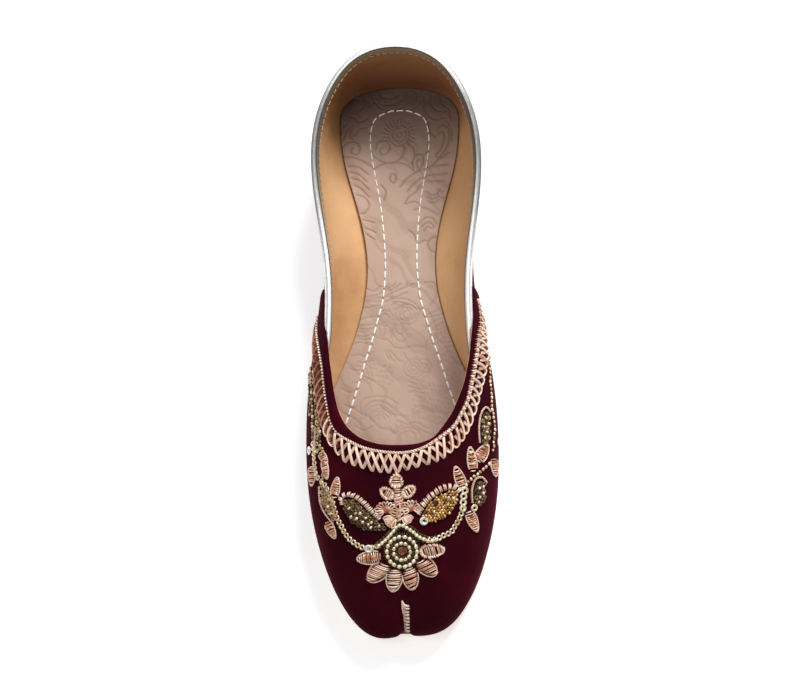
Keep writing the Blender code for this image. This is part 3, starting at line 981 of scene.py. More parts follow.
# tooled ornament, each line through points in the photograph's pixels: a rosette, scrolls, leaves and fans
toolLines = (
    ((230, 151), (237, 145), (245, 145), (249, 151), (246, 157), (240, 155), (242, 150)),
    ((232, 160), (240, 160), (250, 163), (262, 170)),
    ((232, 142), (236, 133), (241, 128), (239, 138), (242, 143)), ((229, 139), (231, 131), (235, 126)),
    ((244, 138), (249, 131), (256, 130)),
    ((262, 158), (270, 164), (281, 166), (290, 161), (294, 153), (292, 147)),
    ((265, 151), (267, 145), (274, 143), (279, 148), (277, 155), (271, 157), (269, 153), (272, 150)),
    ((279, 143), (285, 148), (293, 147), (298, 141), (298, 133), (292, 128), (286, 129)),
    ((297, 146), (302, 150), (304, 158), (301, 167)),
    ((263, 172), (272, 167), (284, 165), (296, 168), (304, 175)),
    ((289, 190), (297, 181), (308, 174), (322, 169), (338, 167)),
    ((296, 195), (304, 186), (316, 179), (337, 176)), ((309, 190), (314, 185), (324, 184), (334, 184)),
    ((294, 207), (298, 200), (305, 195), (309, 188)), ((295, 207), (303, 205), (309, 207)),
    ((303, 174), (302, 166), (305, 158), (311, 157), (313, 164), (309, 172), (305, 175)),
    ((307, 170), (306, 164), (309, 162)),
    ((280, 177), (284, 178), (285, 183), (282, 186), (279, 182), (280, 177)),
    ((237, 169), (247, 170), (257, 177)), ((238, 175), (247, 177), (256, 185)),
    ((240, 181), (249, 184), (258, 193)), ((243, 188), (250, 192), (258, 200)),
    ((246, 198), (254, 201), (258, 208), (255, 215), (250, 217)), ((252, 223), (263, 226)),
    ((254, 231), (265, 236)), ((256, 238), (264, 243)), ((270, 188), (275, 195), (273, 203)),
    ((316, 101), (314, 110), (318, 118), (325, 122), (333, 120)),
    ((322, 98), (321, 107), (327, 113), (336, 113)), ((330, 96), (332, 106), (338, 112), (341, 122)),
    ((336, 124), (341, 133), (341, 143)),
    ((327, 131), (332, 127), (338, 131), (339, 141), (335, 152), (326, 164), (322, 168)),
    ((327, 137), (332, 134), (334, 141), (330, 152), (325, 158), (331, 160), (338, 155)),
    ((318, 125), (319, 134), (325, 139)), ((317, 145), (318, 153), (313, 158)),
    ((316, 195), (321, 198), (326, 197)), ((316, 200), (322, 202), (327, 200)),
    ((318, 205), (323, 206), (328, 203)), ((333, 195), (329, 193), (327, 197), (331, 201), (335, 200)),
    ((303, 213), (312, 211), (320, 214), (327, 218)), ((309, 226), (315, 221), (322, 222), (326, 227)),
    ((311, 230), (316, 226), (321, 227), (323, 231)), ((313, 234), (317, 230), (320, 232)),
    ((325, 240), (319, 243), (317, 249), (320, 254), (325, 256)), ((308, 247), (313, 244), (317, 245)),
    ((298, 234), (303, 238), (305, 244)), ((236, 118), (243, 120), (250, 124), (258, 119)),
    ((235, 110), (240, 103), (248, 102), (252, 108), (248, 113)),
    ((256, 92), (262, 96), (263, 103), (258, 109)),
    ((264, 104), (272, 111), (284, 112), (296, 105), (300, 97)),
    ((268, 93), (272, 99), (282, 100), (290, 94)),
    ((266, 99), (270, 106), (280, 107), (292, 101), (296, 94)),
    ((290, 109), (297, 112), (304, 109), (310, 103)), ((302, 93), (307, 97), (306, 104)),
    ((255, 304), (263, 301), (272, 301), (284, 295), (300, 289)), ((276, 300), (284, 301), (296, 296)),
    ((275, 305), (284, 302), (296, 303), (305, 308), (309, 315), (304, 321), (292, 323), (282, 319),
     (278, 313)), ((281, 309), (287, 305), (297, 308)), ((283, 313), (291, 311), (299, 314)),
    ((247, 308), (256, 305), (266, 303)), ((246, 325), (256, 321), (266, 320)),
    ((246, 331), (255, 333), (264, 331)), ((243, 341), (254, 343), (266, 341)),
    ((241, 348), (250, 346), (262, 349)), ((259, 336), (268, 342), (277, 344), (283, 351)),
    ((316, 331), (325, 324), (334, 321)), ((318, 336), (327, 329), (337, 325)),
    ((322, 342), (331, 336), (340, 332)), ((326, 347), (335, 342), (343, 339)),
    ((329, 353), (338, 350), (348, 350)), ((314, 286), (322, 286), (327, 292), (325, 301), (319, 309)),
    ((280, 335), (286, 343), (292, 345), (300, 338)), ((284, 332), (289, 338), (296, 333)),
    ((283, 351), (292, 352), (303, 350), (314, 351)), ((331, 359), (338, 355), (345, 357), (352, 364)),
    ((335, 364), (343, 361), (348, 367), (350, 377)),
    ((306, 368), (310, 363), (317, 364), (320, 370), (316, 376), (309, 375), (306, 370)),
    ((310, 370), (313, 367), (316, 370), (313, 373)), ((299, 375), (301, 367), (306, 360)),
    ((240, 360), (248, 358), (256, 361)), ((237, 372), (246, 374), (254, 372)),
    ((250, 382), (258, 388), (260, 396)), ((298, 385), (304, 388), (312, 389)),
    ((297, 390), (304, 391), (311, 393)), ((298, 396), (305, 395), (312, 397)),
    ((300, 381), (306, 384), (312, 385)),
    ((250, 417), (249, 409), (255, 402), (266, 400), (276, 401), (286, 407)),
    ((254, 421), (254, 411), (261, 405), (272, 405), (281, 411)),
    ((260, 424), (260, 414), (267, 409), (276, 414)), ((267, 424), (267, 417), (272, 414)),
    ((245, 430), (253, 434), (262, 430)), ((284, 410), (289, 418), (297, 420)),
    ((286, 424), (296, 428), (306, 426), (317, 432), (321, 424), (327, 428), (335, 426)),
    ((279, 442), (284, 433), (293, 429)), ((306, 418), (310, 412), (318, 412), (322, 418), (318, 424)),
    ((230, 392), (238, 396), (246, 393)), ((233, 408), (240, 412), (246, 410)),
    ((326, 396), (333, 398), (338, 392)),
)
# rows of tooled dots: from, to, how many
toolDots = (((312, 390), (333, 401), 6), ((309, 396), (331, 407), 6), ((308, 402), (329, 413), 6),
            ((338, 371), (348, 378), 3), ((336, 378), (347, 385), 3), ((261, 364), (277, 374), 4),
            ((268, 380), (280, 384), 3), ((262, 372), (275, 380), 3))
toolRosette = {"centre": (288.6, 137.0), "dot": 2.6, "ring": 6.8, "rayFrom": 10.0, "rayTo": 15.5, "rays": 17,
               "fine": 0.35}


def insoleTop(along):
    return soleTop(along) + last["gap"] + last["insole"]


def photoOnInsole(points):
    # where the photograph's pixels lie on the insole's top, by three guesses at its height there
    out = []
    for px, py in points:
        eye, ray = photoRay(px, py)
        height = 0.009
        for _ in range(3):
            hit = eye + ray * ((height - eye[2]) / ray[2])
            height = insoleTop(originAlong - hit[1])
        out.append(hit)
    return out


# wrinkle strokes: first from, first to, last from, last to, count
toolStrokes = (
    ((316, 318), (333, 312), (337, 372), (353, 378), 17),
    ((252, 292), (270, 290), (238, 352), (262, 351), 14),
    ((262, 330), (262, 342), (292, 326), (296, 340), 9),
    ((246, 360), (262, 356), (236, 400), (254, 396), 9),
    ((300, 378), (316, 373), (300, 402), (314, 404), 7),
    ((266, 296), (276, 288), (300, 290), (312, 286), 8),
    ((262, 352), (272, 362), (296, 356), (300, 366), 8),
    ((270, 430), (284, 446), (312, 428), (320, 440), 8),
)
# arcs: centre, radii, start, stop in degrees
toolArcs = (((268, 424), (6, 9.5, 13, 16.5, 20), 175, 345), ((312, 420), (5, 8, 11.5), 150, 400),
            ((296, 446), (8, 12, 16), 185, 350), ((296, 318), (4, 7.5, 11), 0, 330),
            ((274, 322), (5, 8.5), 90, 350), ((303, 372), (3, 6.5, 10), 10, 350),
            ((336, 352), (8, 12, 16, 20), 190, 290),
            ((248, 378), (5, 9, 13), 260, 420), ((330, 430), (5, 9), 150, 290))
# fields of dots: corner, step, row, how many in a row, rows
toolFields = (((304, 384), (4.6, 1.0), (-0.6, 5.0), 8, 8), ((258, 366), (5.0, 1.2), (-1.0, 5.4), 5, 4))


def toolingTree():
    # every tooled line as points on the insole, to be asked for the nearest
    fine = toolRosette["fine"]
    lines = [smoothLine(line, fine) for line in toolLines]
    for *corners, count in toolStrokes:
        a, b, c, d = np.array(corners, float)
        for share in np.arange(count) / (count - 1):
            start, stop = a + (c - a) * share, b + (d - b) * share
            if roller.random() < 0.3:
                continue
            bend = (jitter(1.6), 1.6 + jitter(2.0))
            start, stop = (end + (jitter(4.0), jitter(1.5)) for end in (start, stop))
            lines.append(smoothLine([start, (start + stop) / 2 + bend, stop], fine))
    for centre, radii, start, stop in toolArcs:
        for radius in radii:
            angles = np.radians(np.linspace(start + jitter(14), stop + jitter(14), int(radius * 14)))
            wobble = radius * (1 + 0.05 * np.sin(angles * 3 + jitter(2)))
            lines.append(wayAt(angles) * (1, 0.9) * wobble[:, None] + centre)
    for *ways, wide, tall in toolFields:
        corner, step, row = np.array(ways, float)
        for k in range(wide * tall):
            across = k % wide + (0.5 if (k // wide) % 2 else 0.0)
            spot = corner + step * across + row * (k // wide) + (jitter(0.6), jitter(0.6))
            lines.append(np.array([spot, spot + (0.6, 0.3)]))
    for start, end, count in toolDots:
        for spot in np.linspace(start, end, count):
            lines.append(np.array([spot, spot + (0.5, 0.3)]))
    r = toolRosette
    for radius, reach in ((r["dot"], 1.0), (r["ring"], 0.86)):
        lines.append(wayAt(np.linspace(-0.6, -0.6 + 2 * math.pi * reach, 40)) * radius + r["centre"])
    for k in range(r["rays"]):
        way = wayAt(math.radians(150 + 250 * k / (r["rays"] - 1)))
        side = np.array((-way[1], way[0]))
        ray = [way * r["rayFrom"], way * (r["rayFrom"] + 2.5) + side * 0.5, way * r["rayTo"] + side * 1.6]
        lines.append(smoothLine(np.array(ray) + r["centre"], fine))
    spots = photoOnInsole(np.vstack(lines))
    tree = KDTree(len(spots))
    for k, spot in enumerate(spots):
        tree.insert((spot[0], spot[1], 0.0), k)
    tree.balance()
    return tree


def makeInsole(finish):
    # a fine sheet with the tooling pressed in, a rounded edge, and a flat back
    alongs, halves = halfWidths(-insoleSizes["inset"])
    tree = toolingTree()
    sizes = insoleSizes
    columns, fine, edge = sizes["columns"], sizes["fineRows"], sizes["edgeSteps"]
    lines = fine + sizes["frontRows"]
    gaps = []

    def place(across, up):
        row = up * lines
        share = row / fine
        start, middle, end = alongs[0], sizes["fineEnd"], alongs[-1]
        heel, heelShare = sizes["heelStart"], sizes["heelShare"]
        eased = np.where(share < heel, (share / heel) ** 2 * heelShare,
                         heelShare + (share - heel) / (1 - heel) * (1 - heelShare))
        front = np.sin(np.clip((row - fine) / sizes["frontRows"], 0, 1) * math.pi / 2)
        along = np.where(share <= 1, start + (middle - start) * np.minimum(eased, 1),
                         middle + (end - middle) * front)
        half = np.interp(along, alongs, halves)
        r = np.minimum(sizes["edgeRound"], half)
        at = np.rint(across * columns)
        inward = np.minimum(at, columns - at)
        bend = np.interp(inward, range(len(edge)), edge) * math.pi / 2
        side = np.sign(across - 0.5 + 1e-9)
        flat = (across * columns - columns / 2) / (columns / 2 - len(edge) + 1)
        x = np.where(inward < len(edge), side * (half - r + r * np.sin(bend)),
                     np.clip(flat, -1, 1) * (half - r))
        height = insoleTop(along) - r * (1 - np.cos(bend))
        height = np.where(inward < 1, height - last["insole"] + r + sizes["underside"], height)
        points = toFrame(np.stack((x, along, height), -1))
        gap = np.full(len(points), 0.01)
        for k in np.nonzero((along < middle) & (inward >= 1))[0]:
            gap[k] = tree.find((points[k, 0], points[k, 1], 0.0))[2]
        deep = sizes["grooveDepth"] * np.interp(along, *sizes["shallower"])
        points[:, 2] -= deep * bump(gap, sizes["grooveHalf"])
        gaps.extend(gap / mm)
        return points

    piece = drapedGrid("insole_sock", columns, lines, place)
    mesh = piece.data
    mesh.attributes.new("groove", "FLOAT", "POINT").data.foreach_set("value", gaps)
    closer = bmesh.new()
    closer.from_mesh(mesh)
    closer.verts.ensure_lookup_table()
    wide = columns + 1
    for k in range(lines):
        a, b = k * wide, (k + 1) * wide
        closer.faces.new([closer.verts[j] for j in (a, a + columns, b + columns, b)])
    bmesh.ops.remove_doubles(closer, verts=closer.verts, dist=0.0000005)
    bmesh.ops.recalc_face_normals(closer, faces=closer.faces)
    closer.to_mesh(mesh)
    closer.free()
    dressed(piece, finish)
    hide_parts("insole")


insole = {
    "rose": srgb(176, 149, 132),
    "pale": srgb(191, 165, 149),
    "line": srgb(116, 88, 76),
    # heel and heelBack are painted shade over the heel seat, deepest at its back
    "heel": srgb(112, 82, 70),
    "heelBack": srgb(46, 21, 10),
}


def insoleFinish():
    # tooled leather: darker along its tooled lines, a net of fine wrinkles, and a heel darkened by painted
    # shade
    f = Finish("roseLeather", Specular_IOR_Level=0.35)
    gap = f.painted("groove")
    line = (1 - gap / 0.36).clamped()
    soft = (1 - gap / 1.2).clamped()
    cloud = f.noise(55, 4, 0.6)
    grain = f.cells(1100)
    drift = f.node("ShaderNodeTexNoise", {}, {"Vector": f.stretched((70, 70, 0)), "Scale": 1.0,
                                              "Detail": 1.0}, 1)
    net = f.cells(1.0, "DISTANCE_TO_EDGE", f.stretched((130, 130, 0)) + drift * 1.6)
    wrinkle = (1 - net * 8.0).clamped()
    tone = f.mixed((cloud * 1.5 - 0.25).clamped(), insole["rose"], insole["pale"])
    along = f.axis(1)
    # painted shade over the heel seat, deepest at its back
    heelShade = ((along + 0.012) * 32.0).clamped()
    tone = f.mixed(heelShade * 0.55, tone, insole["heel"])
    tone = f.mixed(((along + 0.006) * 40.0).clamped() * 0.8, tone, insole["heelBack"])
    tone = f.mixed(wrinkle * 0.20, tone, insole["line"])
    tone = f.mixed(soft * 0.12, tone, insole["line"])
    tone = f.mixed(line * (0.10 + ((along + 0.08) * 14.0).clamped() * 0.62), tone, insole["line"])
    height = grain * 0.45 + cloud * 0.2 - wrinkle * 1.6
    return f.set(Base_Color=tone, Roughness=0.52 + cloud * 0.12, Normal=f.raised(height, 0.00012, 0.5))


# the sock's row of white stitches: distance along and half width, mm, from the round end to the toe
stitchPath = ((14, 0.0), (14.2, 3.8), (17, 10.0), (21.7, 12.2), (28.5, 12.8), (35.4, 12.1), (44.5, 10.6),
              (53.5, 9.0), (62.5, 7.9), (71.5, 7.2), (80.5, 6.8), (89.4, 7.2), (98.4, 8.3), (107, 10.7),
              (116, 13.3), (125, 16.3), (133.6, 18.9), (142.4, 21.8), (151, 24.6), (160, 27.0))
stitchSizes = {"length": 2.95, "pitch": 4.1, "radius": 0.35}


# Threads: every strand is (points in metres, radii in mm, tone), laid as curves and made one mesh
threadSides = 6
threadWrap = 0.75  # mm along the thread for one turn of its metal wrap


def threadPiece(name, strands, finish):
    curve = bpy.data.curves.new(name, "CURVE")
    curve.dimensions = "3D"
    curve.bevel_depth = mm
    curve.bevel_resolution = 1
    for points, radii, _ in strands:
        spline = curve.splines.new("POLY")
        spline.points.add(len(points) - 1)
        spline.points.foreach_set("co", np.column_stack((points, np.ones(len(points)))).ravel())
        spline.points.foreach_set("radius", np.broadcast_to(radii, len(points)).astype(float))
    chosen(placed(curve, name))
    bpy.ops.object.convert(target="MESH")
    piece = bpy.context.active_object
    runs = np.concatenate([runOf(points) for points, _, _ in strands])
    tones = np.concatenate([np.full(len(points), tone) for points, _, tone in strands])
    angles = np.tile(np.arange(threadSides) * 2 * math.pi / threadSides, len(runs))
    for title, values in (("run", np.repeat(runs, threadSides) / mm), ("tone", np.repeat(tones, threadSides)),
                          ("ringCos", np.cos(angles)), ("ringSin", np.sin(angles))):
        piece.data.attributes.new(title, "FLOAT", "POINT").data.foreach_set("value", values)
    editing(piece)
    bpy.ops.mesh.fill_holes(sides=threadSides)
    facedOut()
    dressed(piece, finish)


def sewn(finishes, *rows):
    for name, strands, thread in rows:
        threadPiece(name, strands, finishes[thread])


def threadFinish(name, shade, base, light, metal, roughness):
    # a metallic thread's wrap shows as fine slanting lines round it
    f = Finish(name, Metallic=metal, Specular_IOR_Level=0.5)
    turns = f.painted("run") * (2 * math.pi / threadWrap)
    wave = turns.math("SINE", turns) * f.painted("ringCos")
    wave = wave + turns.math("COSINE", turns) * f.painted("ringSin")
    cloud = f.noise(700, 2, 0.6)
    level = (f.painted("tone") + (cloud - 0.5) * 0.5 + wave * 0.07).clamped()
    tone = f.ramp(level, [(0.05, srgb(*shade)), (0.50, srgb(*base)), (0.95, srgb(*light))])
    return f.set(Base_Color=tone, Roughness=roughness + cloud * 0.15, Normal=f.raised(wave, 0.00006, 0.55))


# Beads, links and sequins: one small shape copied to every seat, (point, out, heading, size, tone)
def stamped(name, template, seats, finish):
    base = np.array([v.co[:] for v in template.vertices])
    faces = [tuple(p.vertices) for p in template.polygons]
    points, polygons, tones, count = [], [], [], len(base)
    for k, (point, out, heading, size, tone) in enumerate(seats):
        out = unit(np.array(out, float))
        across = unit(np.cross(out, np.array(heading, float)))
        ahead = np.cross(across, out)
        points.append(base * size @ np.stack((ahead, across, out)) + point)
        polygons += [tuple(i + k * count for i in face) for face in faces]
        tones.append(np.full(count, tone))
    mesh = bpy.data.meshes.new(name)
    mesh.from_pydata(np.vstack(points).tolist(), [], polygons)
    mesh.attributes.new("tone", "FLOAT", "POINT").data.foreach_set("value", np.concatenate(tones))
    dressed(placed(mesh, name), finish)


def beadFinish(name, green, blue):
    f = Finish(name, Metallic=0.7, Coat_Weight=0.4, Coat_Roughness=0.12)
    tone = f.painted("tone")
    speck = f.noise(1800, 2, 0.5)
    color = f.ramp((tone + (speck - 0.5) * 0.35).clamped(), [
        (0.02, srgb(56, 38, 23 * blue)), (0.25, srgb(114, 88 * green, 54 * blue)),
        (0.55, srgb(206, 169 * green, 124 * blue)), (0.95, srgb(252, 235 * green, 204 * blue))])
    return f.set(Base_Color=color, Roughness=0.22 + speck * 0.16)


def sequinFinish():
    f = Finish("clearSequin", Metallic=0.35, Coat_Weight=0.8, Coat_Roughness=0.08)
    speck = f.noise(900, 3, 0.5)
    color = f.mixed((speck * 1.4 - 0.2).clamped(), srgb(250, 248, 240), srgb(214, 216, 204))
    return f.set(Base_Color=color, Roughness=0.14 + speck * 0.12)


# Laying things on the velvet by the photograph's pixels
class Ground:
    def __init__(self, mesh):
        corners = [v.co[:] for v in mesh.vertices]
        self.tree = BVHTree.FromPolygons(corners, [tuple(p.vertices) for p in mesh.polygons])

    def hit(self, px, py):
        # a pixel that misses the velvet steps towards its middle until it finds it
        for _ in range(60):
            eye, ray = photoRay(px, py)
            spot, normal, _, _ = self.tree.ray_cast(Vector(eye), Vector(ray))
            if spot:
                normal = np.array(normal)
                normal = normal if normal @ ray < 0 else -normal
                return np.array(spot), normal
            px += 0.35 if px < 286 else -0.35
            py -= 0.2 if py > 600 else 0
        raise ValueError("no velvet under this pixel")

    def laid(self, path, lifts=0.0):
        hits = [self.hit(x, y) for x, y in path]
        spots = np.array([h[0] for h in hits])
        normals = unit(np.array([h[1] for h in hits]))
        if len(path) > 2:
            beside = np.vstack((normals[:1], normals, normals[-1:]))
            normals = unit(beside[:-2] + beside[1:-1] + beside[2:])
        lifts = np.broadcast_to(lifts, len(spots)).astype(float)
        return spots + normals * lifts[:, None] * mm, normals


def stitchLifts(count, rise, base=0.1):
    t = np.linspace(0, 1, count)
    return base + rise * np.sin(math.pi * t) ** 0.6 - 0.35 * (np.abs(2 * t - 1) ** 6)


def stitch(store, ground, a, b, rise=0.6, radius=0.34, tone=0.5, bow=0.0, base=0.15, count=7):
    a, b = np.array(a, float), np.array(b, float)
    t = np.linspace(0, 1, count)[:, None]
    side = np.array((-(b - a)[1], (b - a)[0])) / (np.linalg.norm(b - a) + 1e-9)
    path = a + (b - a) * t + side * bow * np.sin(math.pi * t)
    points, _ = ground.laid(path, stitchLifts(count, rise, base))
    store.append((points, radius * (1 - 0.3 * np.abs(2 * t[:, 0] - 1) ** 4), tone + jitter(0.14)))


def plied(store, points, normals, lift, away, radius, pitch, tone, plies=2, plyShade=0.0):
    # strands twisted round a path, all in mm; each ply after the first is darker by the given amount, painted
    # shade that shows the twist
    run = runOf(points) / mm
    away, radius = np.broadcast_to(away, len(run)), np.broadcast_to(radius, len(run))
    tangents = unit(np.gradient(points, axis=0))
    across = unit(np.cross(tangents, normals))
    for k in range(plies):
        angle = (run / pitch + k / plies) * 2 * math.pi
        outward = normals * np.cos(angle)[:, None] + across * np.sin(angle)[:, None]
        line = points + (normals * lift + outward * away[:, None]) * mm
        store.append((line, radius, tone - plyShade * k + jitter(0.06)))


def cord(store, ground, path, lift, away, radius, pitch, tone):
    points, normals = ground.laid(smoothLine(path, 0.55))
    plied(store, points, normals, lift, away, radius, pitch, tone)


def ovalPoint(centre, length, width, angle, around, point=0.0):
    # round an oval whose long axis heads at the angle (degrees clockwise from right, as pixels run)
    c, s = wayAt(math.radians(angle))
    along = np.cos(around) * length / 2
    across = np.sin(around) * width / 2 * (1 - point * (1 + np.cos(around)) / 2)
    return np.stack((centre[0] + along * c - across * s, centre[1] + along * s + across * c), -1)


# the thin cord round a petal's tip: how far round, then the cord's lift, spread, radius and pitch
petalTips = {"satin": (2.0, 0.34, 0.14, 0.2, 1.7), "heart": (2.35, 0.45, 0.16, 0.21, 1.6)}
petalThread = {"pitch": 2.0, "tone": 0.6}


def petal(stores, ground, centre, length, width, angle, slant, kind, rise=0.85, point=0.3):
    # satin: stitches across. heart: with a middle of rust. rimmed: with blanket stitches all round instead of
    # the cord
    way = wayAt(math.radians(angle))
    tone = petalThread["tone"]
    count = max(3, int(length * 0.94 / petalThread["pitch"]))
    for k in range(count):
        u = (-1 + 2 * (k + 0.5) / count) * 0.95
        half = math.sqrt(1 - u * u) ** 0.7
        ends = []
        for sign in (1, -1):
            spot = ovalPoint(centre, length, width * 0.97, angle, np.array(sign * math.acos(u)), point)
            ends.append(spot + way * (sign * slant * half + jitter(0.4)))
        shade = tone + 0.08 + jitter(0.3) if kind == "rimmed" else tone + jitter(0.32)
        stitch(stores["rose"], ground, *ends, rise * (0.4 + 0.6 * half), 0.29, shade + 0.14, jitter(0.9))
        if kind == "heart" and abs(u) < 0.66:
            middle, reach = (ends[0] + ends[1]) / 2 + (jitter(0.8), jitter(0.5)), (ends[1] - ends[0]) * 0.24
            stitch(stores["rust"], ground, middle - reach, middle + reach, rise * 0.6, 0.36,
                   tone + jitter(0.3), jitter(0.6), base=rise * 0.62 + 0.1)
    if kind == "rimmed":
        reach = min(3.0, width * 0.3)
        steps = int(math.pi * (length + width) / 2 / 2.0)
        for k in range(steps):
            turn = np.array(2 * math.pi * (k + jitter(0.25)) / steps)
            outer = ovalPoint(centre, length + jitter(0.9), width + jitter(0.9), angle, turn, point)
            inner = ovalPoint(centre, length - 2 * reach, width - 2 * reach, angle, turn + 0.15, point)
            stitch(stores["rose"], ground, inner, outer, 0.85, 0.33, tone + 0.2 + jitter(0.25), 0.0, 0.4, 6)
        return
    span, *size = petalTips[kind]
    tip = ovalPoint(centre, length + 0.6, width + 0.4, angle, np.linspace(-span, span, 19), point)
    cord(stores["rose"], ground, tip, *size, tone + 0.2)


def loop(store, ground, hub, way, inner, outer, width, tone):
    # one lazy-daisy loop: out to the tip and back
    hub, side = np.array(hub), np.array((-way[1], way[0]))
    middle = (inner + outer) / 2 + (outer - inner) * 0.12
    path = smoothLine([hub + way * inner, hub + way * middle + side * width, hub + way * outer,
                       hub + way * middle - side * width, hub + way * (inner + 0.4)], 1.3)
    lifts = 0.3 + 0.75 * np.sin(np.linspace(0, math.pi, len(path))) ** 0.7
    points, _ = ground.laid(path, lifts)
    store.append((points, np.full(len(points), 0.31), tone + jitter(0.25)))


def fan(store, ground, hub, inner, outer, start, stop, count, squash, tone=0.7):
    for k in range(count):
        way = wayAt(math.radians(start + (stop - start) * (k + 0.5) / count)) * (1, squash)
        far = outer + jitter(0.6)
        loop(store, ground, hub, way, inner, far, 0.9 + far * 0.06, tone)


rimBlocks = {"pitch": 4.3, "tone": 0.85, "inward": 1.5, "tilt": 0.8, "apart": 0.85}


def rimStitches(store, ground, path, length):
    # blocks of blanket stitches standing out to the left of a line
    line = smoothLine(path, rimBlocks["pitch"])
    tangents = unit(np.gradient(line, axis=0))
    for spot, way in zip(line, tangents):
        side = np.array((way[1], -way[0]))
        block = jitter(0.12)
        for shift in (-rimBlocks["apart"], rimBlocks["apart"]):
            foot = spot + way * shift
            tip = foot + side * (length + jitter(0.5)) + way * rimBlocks["tilt"]
            stitch(store, ground, foot - side * rimBlocks["inward"], tip, 0.7, 0.37,
                   rimBlocks["tone"] + block + jitter(0.1), jitter(0.3))


def insideOf(polygon, x, y):
    inside = False
    for (ax, ay), (bx, by) in zip(polygon, np.roll(polygon, -1, axis=0)):
        if (ay > y) != (by > y) and x < (bx - ax) * (y - ay) / (by - ay) + ax:
            inside = not inside
    return inside


def beadField(seats, ground, polygon, pitch, size, bright, hollow=None):
    # beads sewn in rows over a leaf, leaving out its hollow (centre, radius)
    polygon = smoothLine(polygon, 1.0, closed=True)
    low, high = polygon.min(axis=0), polygon.max(axis=0)
    row = 0
    y = low[1] + pitch * 0.4
    while y < high[1]:
        x = low[0] + (pitch / 2 if row % 2 else 0)
        while x < high[0]:
            far = not hollow or math.dist((x, y), hollow[:2]) > hollow[2]
            if far and insideOf(polygon, x, y):
                beadAt(seats, ground, x + jitter(0.3), y + jitter(0.3), size * roller.uniform(0.85, 1.12),
                       roller.choice(bright) + jitter(0.08), 0.8)
            x += pitch
        y += pitch * 0.87
        row += 1


def seatAt(seats, ground, x, y, lift, size, tone, heading=(1, 0.2, 0), tip=0.2):
    # one small thing on the velvet, tipped a little
    points, normals = ground.laid([(x, y)], lift)
    seats.append((points[0], normals[0] + (jitter(tip), jitter(tip), 0), heading, size, tone))


def beadAt(seats, ground, x, y, size, tone, lift=0.42, heading=None):
    heading = heading or (jitter(1) + 0.01, jitter(1), jitter(0.3))
    seatAt(seats, ground, x, y, lift * size, np.array((1.15, 0.92, 0.9)) * size * mm, tone, heading)


def linkField(seats, ground, polygon, pitch, size, tones):
    # small rings sewn close together like mail, filling a leaf
    polygon = smoothLine(polygon, 1.0, closed=True)
    low, high = polygon.min(axis=0), polygon.max(axis=0)
    for j, y in enumerate(np.arange(low[1], high[1], pitch * 0.86)):
        for x in np.arange(low[0] + (pitch / 2 if j % 2 else 0), high[0], pitch):
            if insideOf(polygon, x, y):
                points, normals = ground.laid([(x + jitter(0.4), y + jitter(0.4))], 0.8)
                out = normals[0] + (jitter(0.35), jitter(0.35), 0)
                seats.append((points[0], out, (1, jitter(1), 0), size * mm, roller.uniform(*tones)))


vineLinks = {"pitch": 5.0, "lift": 0.5, "tones": (0.62, 0.86)}


def patch(name, ground, outline, centre, lift, finish):
    # a thin felt pad on the velvet that beads and stitches are sewn over
    outline = smoothLine(outline, 0.8, closed=True)
    around = np.linspace(0, 1, len(outline))

    def place(across, up):
        edge = np.stack([np.interp(across, around, outline[:, k]) for k in range(2)], -1)
        path = np.array(centre) + (edge - centre) * np.maximum(up, 0.001)[:, None]
        lifts = lift * np.sqrt(np.maximum(0, 1 - up ** 4)) - 0.1 * up
        hits = [ground.hit(x, y) for x, y in path]
        return np.array([h[0] + unit(h[1]) * k * mm for h, k in zip(hits, lifts)])

    piece = drapedGrid(name, 40, 8, place, joined=True)
    editing(piece)
    facedOut()
    applied(piece, "SOLIDIFY", thickness=0.0002, offset=-1)
    dressed(piece, finish)


def chain(seats, ground, path):
    # flat links sewn end to end, each tipped a little over the next
    line = smoothLine(path, vineLinks["pitch"])
    points, normals = ground.laid(line, vineLinks["lift"])
    tangents = np.gradient(points, axis=0)
    for k, (point, out, way) in enumerate(zip(points, normals, tangents)):
        tipped = out + unit(way) * 0.28 + np.cross(out, unit(way)) * jitter(0.2)
        seats.append((point, tipped, way, mm, roller.uniform(*vineLinks["tones"])))


# The throat in pixels, from the left ear round to the right: a place on its cord, and the lattice's hem by it
throatPairs = (
    (206.9, 318, 206.2, 323), (206.2, 336, 203.6, 343), (208.8, 355, 203.8, 363), (211.3, 370, 204.4, 381),
    (213.0, 387.5, 205.7, 398), (215.6, 406, 208.6, 418), (219.4, 425, 213.6, 435),
    (226, 436, 221.5, 450.5), (237, 443.5, 233, 465), (250, 450, 249, 471), (265, 454, 266, 475.5),
    (285, 456, 286, 476), (300, 454.8, 303, 471.5), (313, 450.5, 320, 467), (326, 443, 334, 461),
    (342.5, 430, 349, 446.5), (350.6, 416, 358, 431.5), (356.3, 403.8, 364, 414.5),
    (360, 387.5, 369, 394.5), (363, 372.5, 373, 377), (365.6, 356, 375.5, 361), (367.5, 341, 374.7, 346),
    (369.6, 328.8, 373.4, 333), (368.8, 315, 370.8, 319), (366.3, 302.5, 367.8, 306),
)
throatSizes = {"cell": 3.5, "cordPitch": 2.4, "dotsEnd": -27.0, "latticeEnd": 18.0, "hooksStart": 26.0,
               "leftLater": 5.0, "edgingSteps": 320, "edgingAt": 0.72}


